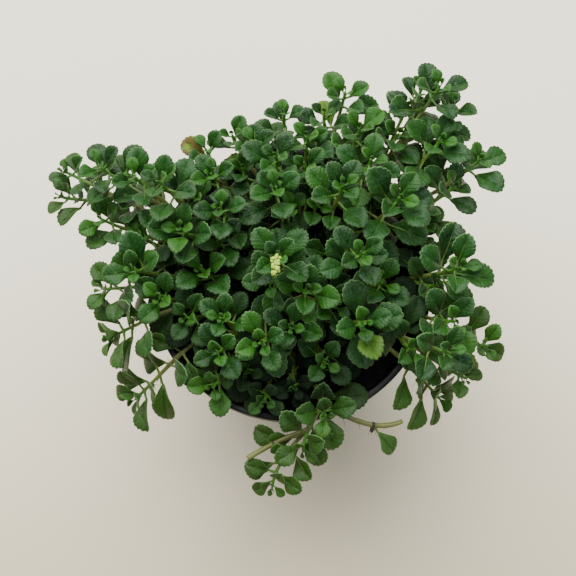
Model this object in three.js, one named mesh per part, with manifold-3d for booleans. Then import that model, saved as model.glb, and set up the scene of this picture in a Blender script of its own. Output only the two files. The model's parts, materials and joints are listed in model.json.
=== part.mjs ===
// Potted creeping pilea: leafy stems that stand and trail in dark soil in a round black pot.
// Millimetres, +Z up. The origin is the centre of the pot's base, and the front is at -Y.

import * as THREE from "three";
import { mergeVertices } from "three/addons/utils/BufferGeometryUtils.js";
import Module from "manifold-3d";

// Pot
const POT_HEIGHT = 100;
const RIM_RADIUS = 60;
const BASE_RADIUS = 42;
const WALL = 1.5;
const FLOOR = 2;
const LIP_WIDTH = 3;
const LIP_DROP = 9;
const FOOT_STEP = 1.2;
const FOOT_HEIGHT = 5;
const LIP_STEP = 0.4;
const EDGE = 0.8;
const POT_FACETS = 32;
const DRAINS = 8;
const DRAIN_RADIUS = 4;
const DRAIN_CIRCLE = 31;
const DRAIN_FACETS = 8;

// Soil
const SOIL_TOP = 91;
const SOIL_GAP = 0.45;
const SOIL_RINGS = [53, 41, 28, 14];
const CLOD_HEIGHT = 0.7;
const SOIL_DROP = 2;
const HOLE_GAP = 0.5;
const ROOT_DEPTH = 5;

// Stems
const STEM_RADIUS = 1.05;
const BRANCH_RADIUS = 0.85;
const TIP_RADIUS = 0.62;
const STEM_SIDES = 4;
const STEM_STEP = 12;
const PATH_STEPS = 80;
const BUD_LENGTH = 2.4;
const BUD_RADIUS = 0.8;
const BUD_WIDEST = 0.4;
const ROOT_CIRCLE = 47;
const ROOT_SPREAD = 62;
const ROOT_LIMIT = 50;
const ROOT_SHIFT = 1.2;
const ROOT_SHIFT_STEP = 0.7;
const FORK_STEP = 1.5;
const STEM_TRIES = 12;
const UPRIGHT_LEAN = 8;
const LEAN_PER_MM = 0.42;
const LEAN_FROM = 12;
const TRAILING_LEAN = 45;
const TRAILING_RISE = 34;
// How far a stem runs on straight from its root, from its fork and back from its tip, as shares
// of the distance between its ends.
const ROOT_PULL = 0.45;
const FORK_PULL = 0.35;
const TIP_PULL = 0.36;
const TRAILING_PULL = 0.62;

// Leaves, for each node counted back from the tip: gap along the stem, length against the
// largest leaf, and angle away from the stem. The last value holds for every older node.
const NODE_GAPS = [0.6, 1.3, 2.2, 3.4, 5.0, 6.5, 7.5, 8.0];
const NODE_GROWTH = [0.34, 0.64, 0.95, 1.14, 1.22, 1.28];
const NODE_SPREAD = [18, 38, 56, 68, 75, 80];
const BLADE_LENGTH_HALF = 0.5;
const BLADE_WIDTH_HALF = 0.41;
const BLADE_CENTRE = 0.52;
const BLADE_THICK = 0.9;
const BLADE_ARCH = 0.3;
const BLADE_CUP = 0.4;
const CUP_VARIES = 0.3;
const TURN_VARIES = 22;
const SPREAD_VARIES = 14;
const SIZE_VARIES = 0.16;
const ROLL_VARIES = 0.35;
const LEAF_LIFT = 0.12;
const PETIOLE_LEAST = 0.8;
const PETIOLE_SHARE = 0.1;
const PETIOLE_GROWTH = 0.07;
const PETIOLE_GROWN = 4;
const NODE_HEIGHT = 0.9;
// How strongly stems and blades turn to the light, and the least angles from leaf to stem for
// the bud's own pair and for all others.
const STEM_LIGHT = 1.6;
const BLADE_LIGHT = 0.35;
const YOUNG_LIGHT = 0.15;
const BUD_ANGLE = 10;
const LEAST_ANGLE = 45;

// Half of a blade's outline from foot to tip, as shares of its length, by node from the tip:
// a folded bud leaf, a young leaf, and a grown leaf with its petiole and scalloped edge.
const GROWN_OUTLINE = [[0, 0.05], [0.54, 0.41], [0.69, 0.33], [0.83, 0.31]];
const YOUNG_OUTLINE = [[0.56, 0.39], [0.86, 0.27]];
const BUD_OUTLINE = [[0.6, 0.36]];
const OUTLINES = [BUD_OUTLINE, BUD_OUTLINE, YOUNG_OUTLINE, GROWN_OUTLINE];

// Clearances
const LEAF_CLEAR = 1.05;
const OWN_LEAF_CLEAR = 0.7;
const LEAF_MARGIN = 0.25;
const STEM_CLEAR = 2.6;
const STALK_CLEAR = 1.9;
const BLADE_CLEAR = 1.75;
const BLADE_MARGIN = 1.3;
const OWN_BLADE_CLEAR = 1.1;
const OWN_MARGIN = 0.4;
const OWN_STEM_FREE = 2.4;
const RIM_CLEAR = 1.6;
const WALL_CLEAR = 3.2;
const EDGE_POINTS = 12;
const INNER_POINTS = 6;
const INNER_SHARE = 0.55;
const NEAR = 15;

// Turn in degrees, change of spread in degrees and scale that a leaf tries, one after another,
// until it is clear of what has grown before it.
const TRIES = [
  [0, 0, 1], [12, 0, 1], [-12, 0, 1], [0, -12, 1], [0, 10, 1], [20, -8, 0.93], [-20, -8, 0.93],
  [32, 0, 0.88], [-32, 0, 0.88], [0, -24, 0.88], [16, -24, 0.84], [-16, -24, 0.84], [0, 24, 0.88],
  [42, -10, 0.78], [-42, -10, 0.78], [0, -36, 0.76], [24, 18, 0.76], [-24, 18, 0.76],
];

// One row for each shoot: name, tip, turn of its youngest leaves, largest leaf, leaf pairs, and
// what differs from the rule. A shoot with `on` forks off that stem, `back` from its tip. A `cut`
// shoot has lost its tip and keeps its oldest pair at most, or with `one` a single leaf of it.
const SHOOTS = [
  ["back_right_1", [62, 75, 134], 20, 10.5, 8, {}],
  ["back_right_2", [56, 79, 124], 70, 9, 3, { on: "back_right_1", back: 22 }],
  ["back_right_3", [69, 70, 124], 160, 9.5, 4, { on: "back_right_1", back: 30 }],
  ["back_right_4", [62, 52, 132], 60, 11, 5, {}],
  ["back_right_5", [79, 46, 124], 30, 11, 5, {}],
  ["back_right_6", [69, 36, 120], 45, 10.5, 5, {}],
  ["back_right_7", [50, 72, 120], 45, 9, 4, {}],
  ["back_1", [23, 76, 126], 20, 9.5, 5, {}],
  ["back_2", [14, 68, 122], 60, 9, 4, { on: "back_1", back: 24 }],
  ["back_3", [29, 59, 128], 40, 11.5, 4, {}],
  ["back_4", [45, 57, 126], 80, 11.5, 4, {}],
  ["back_5", [-3, 67, 124], 10, 8.5, 5, {}],
  ["back_6", [7, 56, 126], 50, 11, 4, {}],
  ["back_7", [-6, 43, 138], 60, 10, 4, {}],
  ["back_8", [-16, 53, 126], 30, 9.5, 5, {}],
  ["back_9", [-25, 59, 120], 80, 8.5, 4, { on: "back_8", back: 20 }],
  ["back_10", [-36, 52, 122], 40, 9, 5, {}],
  ["back_11", [-33, 38, 130], 15, 9, 4, { on: "back_10", back: 26 }],
  ["back_12", [-20, 43, 124], 70, 9, 4, {}],
  ["middle_1", [44, 25, 138], 60, 12, 4, {}],
  ["middle_2", [56, 21, 116], 30, 9.5, 4, {}],
  ["middle_3", [21, 28, 145], 122, 9.5, 4, {}],
  ["middle_4", [33, 42, 136], 70, 10, 4, {}],
  ["middle_5", [-6, 28, 142], 20, 10, 4, {}],
  ["middle_6", [6, 40, 134], 50, 9, 4, {}],
  ["middle_7", [0, 23, 130], 10, 9, 4, { on: "middle_5", back: 26 }],
  ["middle_8", [11, 25, 128], 80, 9, 4, { on: "middle_6", back: 22 }],
  ["middle_9", [-29, 22, 134], 5, 10, 4, {}],
  ["middle_10", [-40, 29, 126], 60, 9, 4, { on: "middle_9", back: 24 }],
  ["middle_11", [-45, 14, 132], 80, 10.5, 4, {}],
  ["middle_12", [-29, 13, 126], 30, 9.5, 4, { on: "middle_11", back: 26 }],
  ["middle_13", [-37, -1, 122], 40, 12, 4, {}],
  ["middle_14", [-54, -12, 118], 55, 12, 4, {}],
  ["middle_15", [-21, 7, 112], 15, 9, 4, {}],
  ["flowering", [-6, -2, 146], 45, 9.5, 5, {}],
  ["middle_16", [-9, -8, 128], 10, 9.5, 4, { on: "flowering", back: 28 }],
  ["middle_17", [6, -13, 136], 75, 10, 4, {}],
  ["middle_18", [18, -17, 126], 40, 10, 4, { on: "middle_17", back: 24 }],
  ["middle_19", [19, 6, 126], 85, 9.5, 4, {}],
  ["middle_20", [28, 0, 144], 30, 9.5, 4, {}],
  ["middle_21", [38, -7, 124], 60, 11, 4, {}],
  ["middle_22", [29, -26, 132], 20, 12, 4, {}],
  ["front_1", [-12, -34, 134], 20, 9.5, 4, {}],
  ["front_2", [0, -27, 130], 70, 9, 4, {}],
  ["front_3", [-30, -36, 124], 30, 9.5, 4, {}],
  ["front_4", [-28, -22, 126], 75, 9, 4, { on: "front_3", back: 24 }],
  ["front_5", [-43, -20, 118], 50, 10, 4, {}],
  ["front_6", [-32, -48, 114], 10, 9.5, 5, {}],
  ["front_7", [-18, -42, 112], 60, 9, 4, { on: "front_6", back: 20 }],
  ["front_8", [-11, -54, 112], 58, 7.5, 4, {}],
  ["front_9", [14, -39, 118], 55, 9, 4, {}],
  ["front_10", [1, -48, 110], 25, 8, 4, {}],
  ["front_11", [14, -59, 110], 5, 12, 4, {}],
  ["front_12", [5, -73, 101], 35, 10.5, 5, { on: "front_11", back: 9, lean: 95 }],
  ["front_13", [-8, -87, 89], 60, 9, 4, { on: "front_12", back: 12, lean: 110 }],
  ["front_cut_left", [-18, -75, 98], 0, 9, 0, { on: "front_12", back: 10, cut: true, lean: 92, toward: 212 }],
  ["front_cut_right", [46, -60, 101], 315, 9, 5, {
    on: "front_11", back: 9, cut: true, one: true, lean: 86, toward: 24, light: 0.8,
  }],
  ["right_1", [69, -1, 126], 85, 12, 4, {}],
  ["right_2", [60, -6, 116], 40, 9, 4, { on: "right_1", back: 26 }],
  ["right_3", [67, -22, 120], 35, 11, 4, {}],
  ["right_4", [63, -37, 130], 70, 9.5, 5, {}],
  ["right_5", [50, -34, 120], 30, 9, 4, { on: "right_4", back: 28 }],
  ["right_6", [82, -30, 108], 60, 9, 4, { on: "right_3", back: 24 }],
  ["right_7", [64, -49, 86], 30, 11, 5, { lean: 140, light: 0.8 }],
  ["right_8", [73, -43, 104], 75, 9.5, 4, { on: "right_4", back: 30, lean: 70 }],
  ["left_1", [-97, 46, 110], 20, 8.5, 8, { lean: 78, toward: 155 }],
  ["left_2", [-100, 37, 102], 60, 8.5, 4, { on: "left_1", back: 24, lean: 88, toward: 170 }],
  ["left_3", [-81, 44, 124], 45, 10, 5, {}],
  ["left_4", [-65, 37, 130], 10, 9.5, 5, {}],
  ["left_5", [-54, 33, 136], 70, 10, 4, {}],
  ["left_6", [-81, 24, 114], 26, 9.5, 6, {}],
  ["left_7", [-80, -5, 106], 60, 10, 5, {}],
  ["left_8", [-65, 0, 120], 15, 11.5, 4, {}],
  ["left_9", [-76, -24, 98], 50, 11.5, 5, { lean: 125, light: 0.9 }],
  ["left_10", [-67, -49, 86], 32, 10.5, 6, { lean: 125, light: 0.9 }],
  ["left_11", [-63, 15, 116], 40, 10, 4, {}],
];

// Flower spike on the flowering shoot
const SPIKE_LENGTH = 8;
const SPIKE_RISE = 2.5;
const FLORETS = 7;
const FLORET_RADIUS = 1.4;
const FLORET_TAPER = 0.05;
const FLORET_TURN = 0.7;

const LEAF_GREEN = 0x2f5a2c;
const POT_BLACK = 0x17181a;
const SOIL_BROWN = 0x211913;

const UP = new THREE.Vector3(0, 0, 1);
const wasm = await Module();
wasm.setup();

const radians = (degrees) => THREE.MathUtils.degToRad(degrees);
const held = (list, index) => list[Math.min(index, list.length - 1)];

// A fixed number from 0 to 1 for each set of whole numbers, so that every run grows alike.
function chance(...keys) {
  let x = 0x9e3779b9;
  for (const key of keys) {
    x = (x ^ Math.imul(key + 1, 0x85ebca6b)) >>> 0;
    x = Math.imul(x ^ (x >>> 15), 0x2c1b3c6d) >>> 0;
    x = Math.imul(x ^ (x >>> 12), 0x297a2d39) >>> 0;
    x = (x ^ (x >>> 15)) >>> 0;
  }
  return x / 2 ** 32;
}

function mixed(...parts) {
  const sum = new THREE.Vector3();
  for (const [vector, share] of parts) sum.addScaledVector(vector, share);
  return sum;
}

const across = (vector, axis) => mixed([vector, 1], [axis, -vector.dot(axis)]).normalize();

function solidFrom(points, faces) {
  const vertProperties = new Float32Array(points.flatMap((p) => [p.x, p.y, p.z]));
  return new wasm.Manifold(
    new wasm.Mesh({ numProp: 3, vertProperties, triVerts: new Uint32Array(faces.flat()) }),
  );
}

function solidOf(geometry) {
  geometry.deleteAttribute("normal");
  geometry.deleteAttribute("uv");
  const merged = mergeVertices(geometry, 1e-3);
  return new wasm.Manifold(
    new wasm.Mesh({
      numProp: 3,
      vertProperties: merged.attributes.position.array,
      triVerts: new Uint32Array(merged.index.array),
    }),
  );
}

function meshOf(name, solid, colour, roughness) {
  const { vertProperties, triVerts } = solid.getMesh();
  const geometry = new THREE.BufferGeometry();
  geometry.setAttribute("position", new THREE.BufferAttribute(vertProperties, 3));
  geometry.setIndex(new THREE.BufferAttribute(triVerts, 1));
  geometry.computeVertexNormals();
  const material = new THREE.MeshStandardMaterial({ color: colour, roughness, metalness: 0 });
  const mesh = new THREE.Mesh(geometry, material);
  mesh.name = name;
  return mesh;
}

const wallRadius = (z) => BASE_RADIUS + ((RIM_RADIUS - BASE_RADIUS) * z) / POT_HEIGHT;

// Paths of the stems

const numberOf = (name) => SHOOTS.findIndex((row) => row[0] === name);

function familyOf(number) {
  const { on } = SHOOTS[number][5];
  return on ? familyOf(numberOf(on)) : number;
}

function tipDirection([, tip, , , , more]) {
  const reach = Math.hypot(tip[0], tip[1]);
  const trailing = isTrailing(tip) ? TRAILING_LEAN : 0;
  const bySite = UPRIGHT_LEAN + LEAN_PER_MM * Math.max(0, reach - LEAN_FROM) + trailing;
  const lean = radians(more.lean ?? bySite);
  const toward = more.toward === undefined ? Math.atan2(tip[1], tip[0]) : radians(more.toward);
  const out = Math.sin(lean);
  return new THREE.Vector3(out * Math.cos(toward), out * Math.sin(toward), Math.cos(lean));
}

const isTrailing = (tip) => tip[2] < POT_HEIGHT + 8 && Math.hypot(tip[0], tip[1]) > RIM_RADIUS - 2;

// The root keeps the tip's direction from the middle, drawn in, so that stems fan out.
function rootPoint(tip, number, attempt) {
  const reach = Math.hypot(tip[0], tip[1]);
  const drawn = (ROOT_CIRCLE * Math.tanh(reach / ROOT_SPREAD)) / reach;
  const shift = ROOT_SHIFT + ROOT_SHIFT_STEP * attempt;
  const angle = 2 * Math.PI * chance(number, attempt, 71);
  const x = tip[0] * drawn + shift * Math.cos(angle);
  const y = tip[1] * drawn + shift * Math.sin(angle);
  const inside = Math.min(1, ROOT_LIMIT / Math.hypot(x, y));
  return new THREE.Vector3(x * inside, y * inside, SOIL_TOP - ROOT_DEPTH);
}

function stemCurve(row, number, attempt, paths) {
  const [, tip, , , , more] = row;
  const end = new THREE.Vector3(...tip);
  const heading = tipDirection(row);
  if (more.on) {
    const fork = alongPath(paths[numberOf(more.on)], more.back + FORK_STEP * attempt);
    const span = end.distanceTo(fork.point);
    const aside = across(mixed([end, 1], [fork.point, -1]), fork.direction);
    const leaving = mixed([fork.direction, 1], [aside, 1]).normalize();
    return new THREE.CubicBezierCurve3(
      fork.point,
      mixed([fork.point, 1], [leaving, FORK_PULL * span]),
      mixed([end, 1], [heading, -TIP_PULL * span]),
      end,
    );
  }
  const root = rootPoint(tip, number, attempt);
  const span = end.distanceTo(root);
  const low = isTrailing(tip) || more.cut;
  const rise = low ? ROOT_DEPTH + TRAILING_RISE : ROOT_PULL * span;
  return new THREE.CubicBezierCurve3(
    root,
    mixed([root, 1], [UP, rise]),
    mixed([end, 1], [heading, -(low ? TRAILING_PULL : TIP_PULL) * span]),
    end,
  );
}

function measured(curve) {
  const points = curve.getPoints(PATH_STEPS);
  const lengths = [0];
  points.slice(1).forEach((p, i) => lengths.push(lengths[i] + p.distanceTo(points[i])));
  return { points, lengths, total: lengths[PATH_STEPS] };
}

function pointAt(path, distance) {
  const at = THREE.MathUtils.clamp(distance, 0, path.total);
  let i = 1;
  while (i < PATH_STEPS && path.lengths[i] < at) i += 1;
  const share = (at - path.lengths[i - 1]) / (path.lengths[i] - path.lengths[i - 1]);
  return path.points[i - 1].clone().lerp(path.points[i], share);
}

function alongPath(path, back) {
  const at = path.total - back;
  const point = pointAt(path, at);
  const direction = mixed([pointAt(path, at + 0.8), 1], [pointAt(path, at - 0.8), -1]).normalize();
  return { point, direction };
}

// How far a stem's open length clears the rim and wall: negative where it is too near.
function wallClearance(open) {
  const over = open.map(({ point: p }) => {
    const aside = Math.abs(Math.hypot(p.x, p.y) - wallRadius(p.z) + LIP_WIDTH / 3);
    return aside < WALL_CLEAR ? p.z - POT_HEIGHT - RIM_CLEAR : NEAR;
  });
  return Math.min(...over);
}

// Points along a stem where it is in the open, its bud included, each with its distance.
function openStretch(path, buried) {
  const open = path.points.map((point, i) => ({ point, at: path.lengths[i] }));
  const end = alongPath(path, 0);
  for (const share of [BUD_WIDEST, 0.7, 1]) {
    const beyond = share * BUD_LENGTH;
    open.push({ point: mixed([end.point, 1], [end.direction, beyond]), at: path.total + beyond });
  }
  return open.filter(({ at }) => at > buried);
}

function stemPaths() {
  const paths = [];
  SHOOTS.forEach((row, number) => {
    const buried = row[5].on ? 3.5 : ROOT_DEPTH - 1;
    let best = null;
    for (let attempt = 0; attempt < STEM_TRIES && !(best && best.score > 0); attempt += 1) {
      const path = measured(stemCurve(row, number, attempt, paths));
      path.open = openStretch(path, buried);
      const others = paths.filter((other, i) => familyOf(i) !== familyOf(number));
      let gap = NEAR;
      for (const other of others)
        for (const p of path.open)
          for (const q of other.open) gap = Math.min(gap, p.point.distanceTo(q.point));
      const score = Math.min(gap - STEM_CLEAR, wallClearance(path.open));
      if (!best || score > best.score) best = { path, score };
    }
    paths.push(best.path);
  });
  return paths;
}

// Placing the leaves

function nodeDepth(k) {
  let depth = 0;
  for (let i = 0; i <= k; i += 1) depth += held(NODE_GAPS, i);
  return depth;
}

// A leaf's direction, kept at an open angle to its stem.
function keptOff(heading, stem, k) {
  const along = heading.dot(stem);
  const limit = Math.cos(radians(k > 0 ? LEAST_ANGLE : BUD_ANGLE));
  if (Math.abs(along) <= limit) return heading;
  const aside = across(heading, stem);
  return mixed([stem, Math.sign(along) * limit], [aside, Math.sqrt(1 - limit * limit)]);
}

// A leaf's frame: d along the blade, v across it, n out of its upper face.
function leafFrame(row, number, path, k, side, [turned, opened, scale]) {
  const [, , turn, largest, , more] = row;
  const draw = (what) => chance(number, k, side, what) - 0.5;
  const { point, direction } = alongPath(path, nodeDepth(k));
  const axis = mixed([direction, 1], [UP, more.light ?? STEM_LIGHT]).normalize();
  const first = across(new THREE.Vector3(1, 0, 0), axis);
  const second = axis.clone().cross(first);
  const phi = radians(turn + 90 * k + 180 * side + TURN_VARIES * draw(1) + turned);
  const outward = mixed([first, Math.cos(phi)], [second, Math.sin(phi)]);
  const theta = radians(held(NODE_SPREAD, k) + SPREAD_VARIES * draw(2) + opened);
  const lift = k > 1 ? LEAF_LIFT : 0;
  const heading = mixed([axis, Math.cos(theta)], [outward, Math.sin(theta)], [UP, lift]);
  const d = keptOff(heading.normalize(), direction, k);
  const length = largest * held(NODE_GROWTH, k) * scale * (1 + SIZE_VARIES * draw(3));
  const toLight = k > 1 ? BLADE_LIGHT : YOUNG_LIGHT;
  const raw = mixed(
    [axis, Math.sin(theta) * (1 - toLight)],
    [outward, -Math.cos(theta) * (1 - toLight)],
    [UP, toLight],
  );
  const level = across(raw, d);
  const n = across(mixed([level, 1], [level.clone().cross(d), ROLL_VARIES * draw(4)]), d);
  const v = n.clone().cross(d);
  const share = PETIOLE_SHARE + PETIOLE_GROWTH * Math.min(k, PETIOLE_GROWN);
  const petiole = share * length + PETIOLE_LEAST;
  const cup = BLADE_CUP + CUP_VARIES * draw(5);
  const centre = mixed(
    [point, 1],
    [d, petiole + BLADE_CENTRE * length],
    [n, BLADE_ARCH * BLADE_CENTRE ** 2 * length],
  );
  const a = BLADE_LENGTH_HALF * length;
  const b = BLADE_WIDTH_HALF * length;
  return { number, k, side, point, centre, d, v, n, length, petiole, cup, a, b };
}

// The blade is a saddle: raised towards its sides by `cup`, falling to foot and tip.
const bladeHeight = (leaf, x, y) => (leaf.cup * y * y - BLADE_ARCH * x * x) / leaf.length;

function onBlade(leaf, x, y, lift = 0) {
  const height = bladeHeight(leaf, x, y) + lift;
  return mixed([leaf.centre, 1], [leaf.d, x], [leaf.v, y], [leaf.n, height]);
}

// Points that stand for a leaf: its edge, its middle, a ring inside and two on its petiole.
function edgePoints(leaf) {
  const ring = (count, share) =>
    Array.from({ length: count }, (_, i) => {
      const angle = (2 * Math.PI * i) / count;
      return onBlade(leaf, share * leaf.a * Math.cos(angle), share * leaf.b * Math.sin(angle));
    });
  const foot = mixed([leaf.point, 1], [leaf.d, leaf.petiole]);
  return {
    blade: [...ring(EDGE_POINTS, 1), leaf.centre, ...ring(INNER_POINTS, INNER_SHARE)],
    petiole: [foot, mixed([leaf.point, 0.5], [foot, 0.5])],
  };
}

function touches(points, leaf, half, margin) {
  return points.some((p) => {
    const from = mixed([p, 1], [leaf.centre, -1]);
    const x = from.dot(leaf.d);
    const y = from.dot(leaf.v);
    const off = Math.abs(from.dot(leaf.n) - bladeHeight(leaf, x, y));
    return off < half && (x / (leaf.a + margin)) ** 2 + (y / (leaf.b + margin)) ** 2 < 1;
  });
}

function hitsPot(points) {
  return points.some((p) => {
    const past = Math.hypot(p.x, p.y) - wallRadius(p.z);
    const nearWall = p.z < POT_HEIGHT + RIM_CLEAR && past > -LIP_WIDTH - 1.5 && past < 2;
    const nearSoil = past < 0 && p.z < SOIL_TOP + 2;
    return nearWall || nearSoil || p.z < RIM_CLEAR;
  });
}

function isClear(leaf, edge, grown, paths) {
  if (hitsPot(edge.blade)) return false;
  const all = [...edge.blade, ...edge.petiole];
  for (const other of grown) {
    if (other.centre.distanceTo(leaf.centre) > NEAR) continue;
    const half = other.number === leaf.number ? OWN_LEAF_CLEAR : LEAF_CLEAR;
    const theirs = [...other.edge.blade, ...other.edge.petiole];
    if (touches(all, other, half, LEAF_MARGIN)) return false;
    if (touches(theirs, leaf, half, LEAF_MARGIN)) return false;
  }
  return !paths.some((path, i) => {
    if (i === leaf.number) {
      const node = path.total - nodeDepth(leaf.k);
      const away = path.open.filter(({ at }) => Math.abs(at - node) > OWN_STEM_FREE);
      return touches(away.map(({ point }) => point), leaf, OWN_BLADE_CLEAR, OWN_MARGIN);
    }
    const stem = path.open.map(({ point }) => point);
    const stalks = edge.petiole.some((p) => stem.some((q) => p.distanceTo(q) < STALK_CLEAR));
    return stalks || touches(stem, leaf, BLADE_CLEAR, BLADE_MARGIN);
  });
}

// The youngest pairs of all shoots take their places first, then the next pairs down.
function grownLeaves(paths) {
  const grown = [];
  const oldest = Math.max(...SHOOTS.map((row) => row[4]));
  for (let k = 0; k < oldest; k += 1)
    SHOOTS.forEach((row, number) => {
      const { on, cut, one } = row[5];
      const bare = paths[number].total - (on ? 3 : ROOT_DEPTH + 4);
      if (k >= row[4] || nodeDepth(k) > bare || (cut && k < row[4] - 1)) return;
      for (const side of one ? [0] : [0, 1])
        for (const attempt of TRIES) {
          const leaf = leafFrame(row, number, paths[number], k, side, attempt);
          leaf.edge = edgePoints(leaf);
          if (!isClear(leaf, leaf.edge, grown, paths)) continue;
          grown.push(leaf);
          break;
        }
    });
  return grown;
}

// Solids

// The rings of a stem from its root up: plain ones where it is bare, and one below and one
// above each node, between which the leaves of that node stand.
function ringPlan(path, nodes) {
  const depths = nodes.map(nodeDepth).sort((one, other) => other - one);
  const bareTo = (depths[0] ?? 0) + NODE_HEIGHT / 2;
  const steps = Math.max(2, Math.round((path.total - bareTo) / STEM_STEP));
  const plan = [];
  for (let i = 0; i < steps; i += 1)
    plan.push(path.total - ((path.total - bareTo) * i) / steps);
  for (const depth of depths) plan.push(depth + NODE_HEIGHT / 2, depth - NODE_HEIGHT / 2);
  if (!depths.length) plan.push(0);
  return plan;
}

function ringsOf(path, plan, thick, faceToward) {
  const side = Math.abs(alongPath(path, plan[0]).direction.x) > 0.9 ? [0, 1, 0] : [1, 0, 0];
  let first = new THREE.Vector3(...side);
  const rings = plan.map((back) => {
    const { point, direction } = alongPath(path, back);
    first = across(first, direction);
    const second = direction.clone().cross(first);
    const radius = TIP_RADIUS + (thick - TIP_RADIUS) * (back / path.total);
    return { point, direction, first, second, radius };
  });
  const top = rings[rings.length - 1];
  const turn = Math.atan2(faceToward.dot(top.second), faceToward.dot(top.first));
  return { rings, turn };
}

function ringPoints({ point, first, second, radius }, turn) {
  const points = [];
  for (let j = 0; j < STEM_SIDES; j += 1) {
    const angle = turn + (2 * Math.PI * (j - 0.5)) / STEM_SIDES;
    const [c, s] = [radius * Math.cos(angle), radius * Math.sin(angle)];
    points.push(mixed([point, 1], [first, c], [second, s]));
  }
  return points;
}

// The side of the ring that faces a leaf best and that no other leaf has taken.
function sideFor(leaf, ring, turn, taken) {
  const facing = [];
  for (let j = 0; j < STEM_SIDES; j += 1) {
    const angle = turn + (2 * Math.PI * j) / STEM_SIDES;
    const outward = mixed([ring.first, Math.cos(angle)], [ring.second, Math.sin(angle)]);
    if (!taken.includes(j)) facing.push({ j, match: outward.dot(leaf.d) });
  }
  return facing.sort((one, other) => other.match - one.match)[0].j;
}

// A blade grows out of one side of the stem. `corners` are that side's four points, counted
// anticlockwise from outside, and they are turned to suit the way the blade lies.
function addLeaf(leaf, corners, points, faces) {
  const fit = (start) =>
    [[-1, -1], [1, -1], [1, 1], [-1, 1]].reduce((sum, [aside, up], i) => {
      const corner = points[corners[(i + start) % 4]];
      return sum + aside * corner.dot(leaf.v) + up * corner.dot(leaf.n);
    }, 0);
  const start = [0, 1, 2, 3].sort((one, other) => fit(other) - fit(one))[0];
  const [lowLeft, lowRight, highRight, highLeft] = [0, 1, 2, 3].map((i) => corners[(i + start) % 4]);
  const socket = mixed(...corners.map((corner) => [points[corner], 0.25]));
  const foot = socket.lerp(leaf.centre, leaf.petiole / (leaf.petiole + BLADE_CENTRE * leaf.length));
  const at = ([x, y]) => {
    if (x === 0) return mixed([foot, 1], [leaf.v, y * leaf.length]);
    return onBlade(leaf, (x - BLADE_CENTRE) * leaf.length, y * leaf.length);
  };
  const half = held(OUTLINES, leaf.k);
  const rim = [...half.map(([x, y]) => at([x, -y])), at([1, 0]), ...half.map(at).reverse()];
  const base = points.length;
  const last = base + rim.length - 1;
  const [top, bottom] = [last + 1, last + 2];
  points.push(...rim, onBlade(leaf, 0, 0, BLADE_THICK / 2), onBlade(leaf, 0, 0, -BLADE_THICK / 2));
  faces.push(
    [top, last, highRight], [top, highRight, highLeft], [top, highLeft, base],
    [bottom, lowRight, last], [bottom, lowLeft, lowRight], [bottom, base, lowLeft],
    [highRight, last, lowRight], [base, highLeft, lowLeft],
  );
  for (let i = base; i < last; i += 1) faces.push([top, i, i + 1], [bottom, i + 1, i]);
}

function shootSolid(path, leaves, { on, cut }) {
  const nodes = [...new Set(leaves.map((leaf) => leaf.k))];
  const plan = ringPlan(path, nodes);
  const youngest = leaves[0] ? leaves[0].d : new THREE.Vector3(1, 0, 0);
  const { rings, turn } = ringsOf(path, plan, on ? BRANCH_RADIUS : STEM_RADIUS, youngest);
  path.foot = { rings: rings.slice(0, 2), turn };
  const end = alongPath(path, 0);
  if (!cut) {
    const top = rings[rings.length - 1];
    const point = mixed([end.point, 1], [end.direction, BUD_WIDEST * BUD_LENGTH]);
    rings.push({ ...top, point, radius: BUD_RADIUS });
  }
  const points = rings.flatMap((ring) => ringPoints(ring, turn));
  const faces = [];
  for (let i = 0; i < rings.length - 1; i += 1) {
    const here = leaves.filter((leaf) => nodeDepth(leaf.k) + NODE_HEIGHT / 2 === plan[i]);
    const taken = [];
    const leafOn = new Map();
    for (const leaf of here) {
      const j = sideFor(leaf, rings[i], turn, taken);
      taken.push(j);
      leafOn.set(j, leaf);
    }
    for (let j = 0; j < STEM_SIDES; j += 1) {
      const [low, next] = [i * STEM_SIDES + j, i * STEM_SIDES + ((j + 1) % STEM_SIDES)];
      const corners = [low, next, next + STEM_SIDES, low + STEM_SIDES];
      if (leafOn.has(j)) addLeaf(leafOn.get(j), corners, points, faces);
      else faces.push([corners[0], corners[1], corners[2]], [corners[0], corners[2], corners[3]]);
    }
  }
  const lastRing = (rings.length - 1) * STEM_SIDES;
  for (let j = 1; j < STEM_SIDES - 1; j += 1) faces.push([0, j + 1, j]);
  if (cut) {
    for (let j = 1; j < STEM_SIDES - 1; j += 1) faces.push([lastRing, lastRing + j, lastRing + j + 1]);
  } else {
    points.push(mixed([end.point, 1], [end.direction, BUD_LENGTH]));
    for (let j = 0; j < STEM_SIDES; j += 1)
      faces.push([lastRing + j, lastRing + ((j + 1) % STEM_SIDES), points.length - 1]);
  }
  return solidFrom(points, faces);
}

// Florets sit on a spike that rises from the tip and leans to the front.
function spikePoint(path, share) {
  const { point } = alongPath(path, 0);
  const lean = share * SPIKE_LENGTH;
  const rise = BUD_RADIUS + SPIKE_RISE * Math.sqrt(share);
  return new THREE.Vector3(point.x, point.y - lean, point.z + rise);
}

function floretSolid(path, i) {
  const geometry = new THREE.OctahedronGeometry(FLORET_RADIUS * (1 - FLORET_TAPER * i));
  geometry.rotateY(FLORET_TURN * i);
  const { x, y, z } = spikePoint(path, i / (FLORETS - 1));
  geometry.translate(x, y, z);
  return solidOf(geometry);
}

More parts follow.
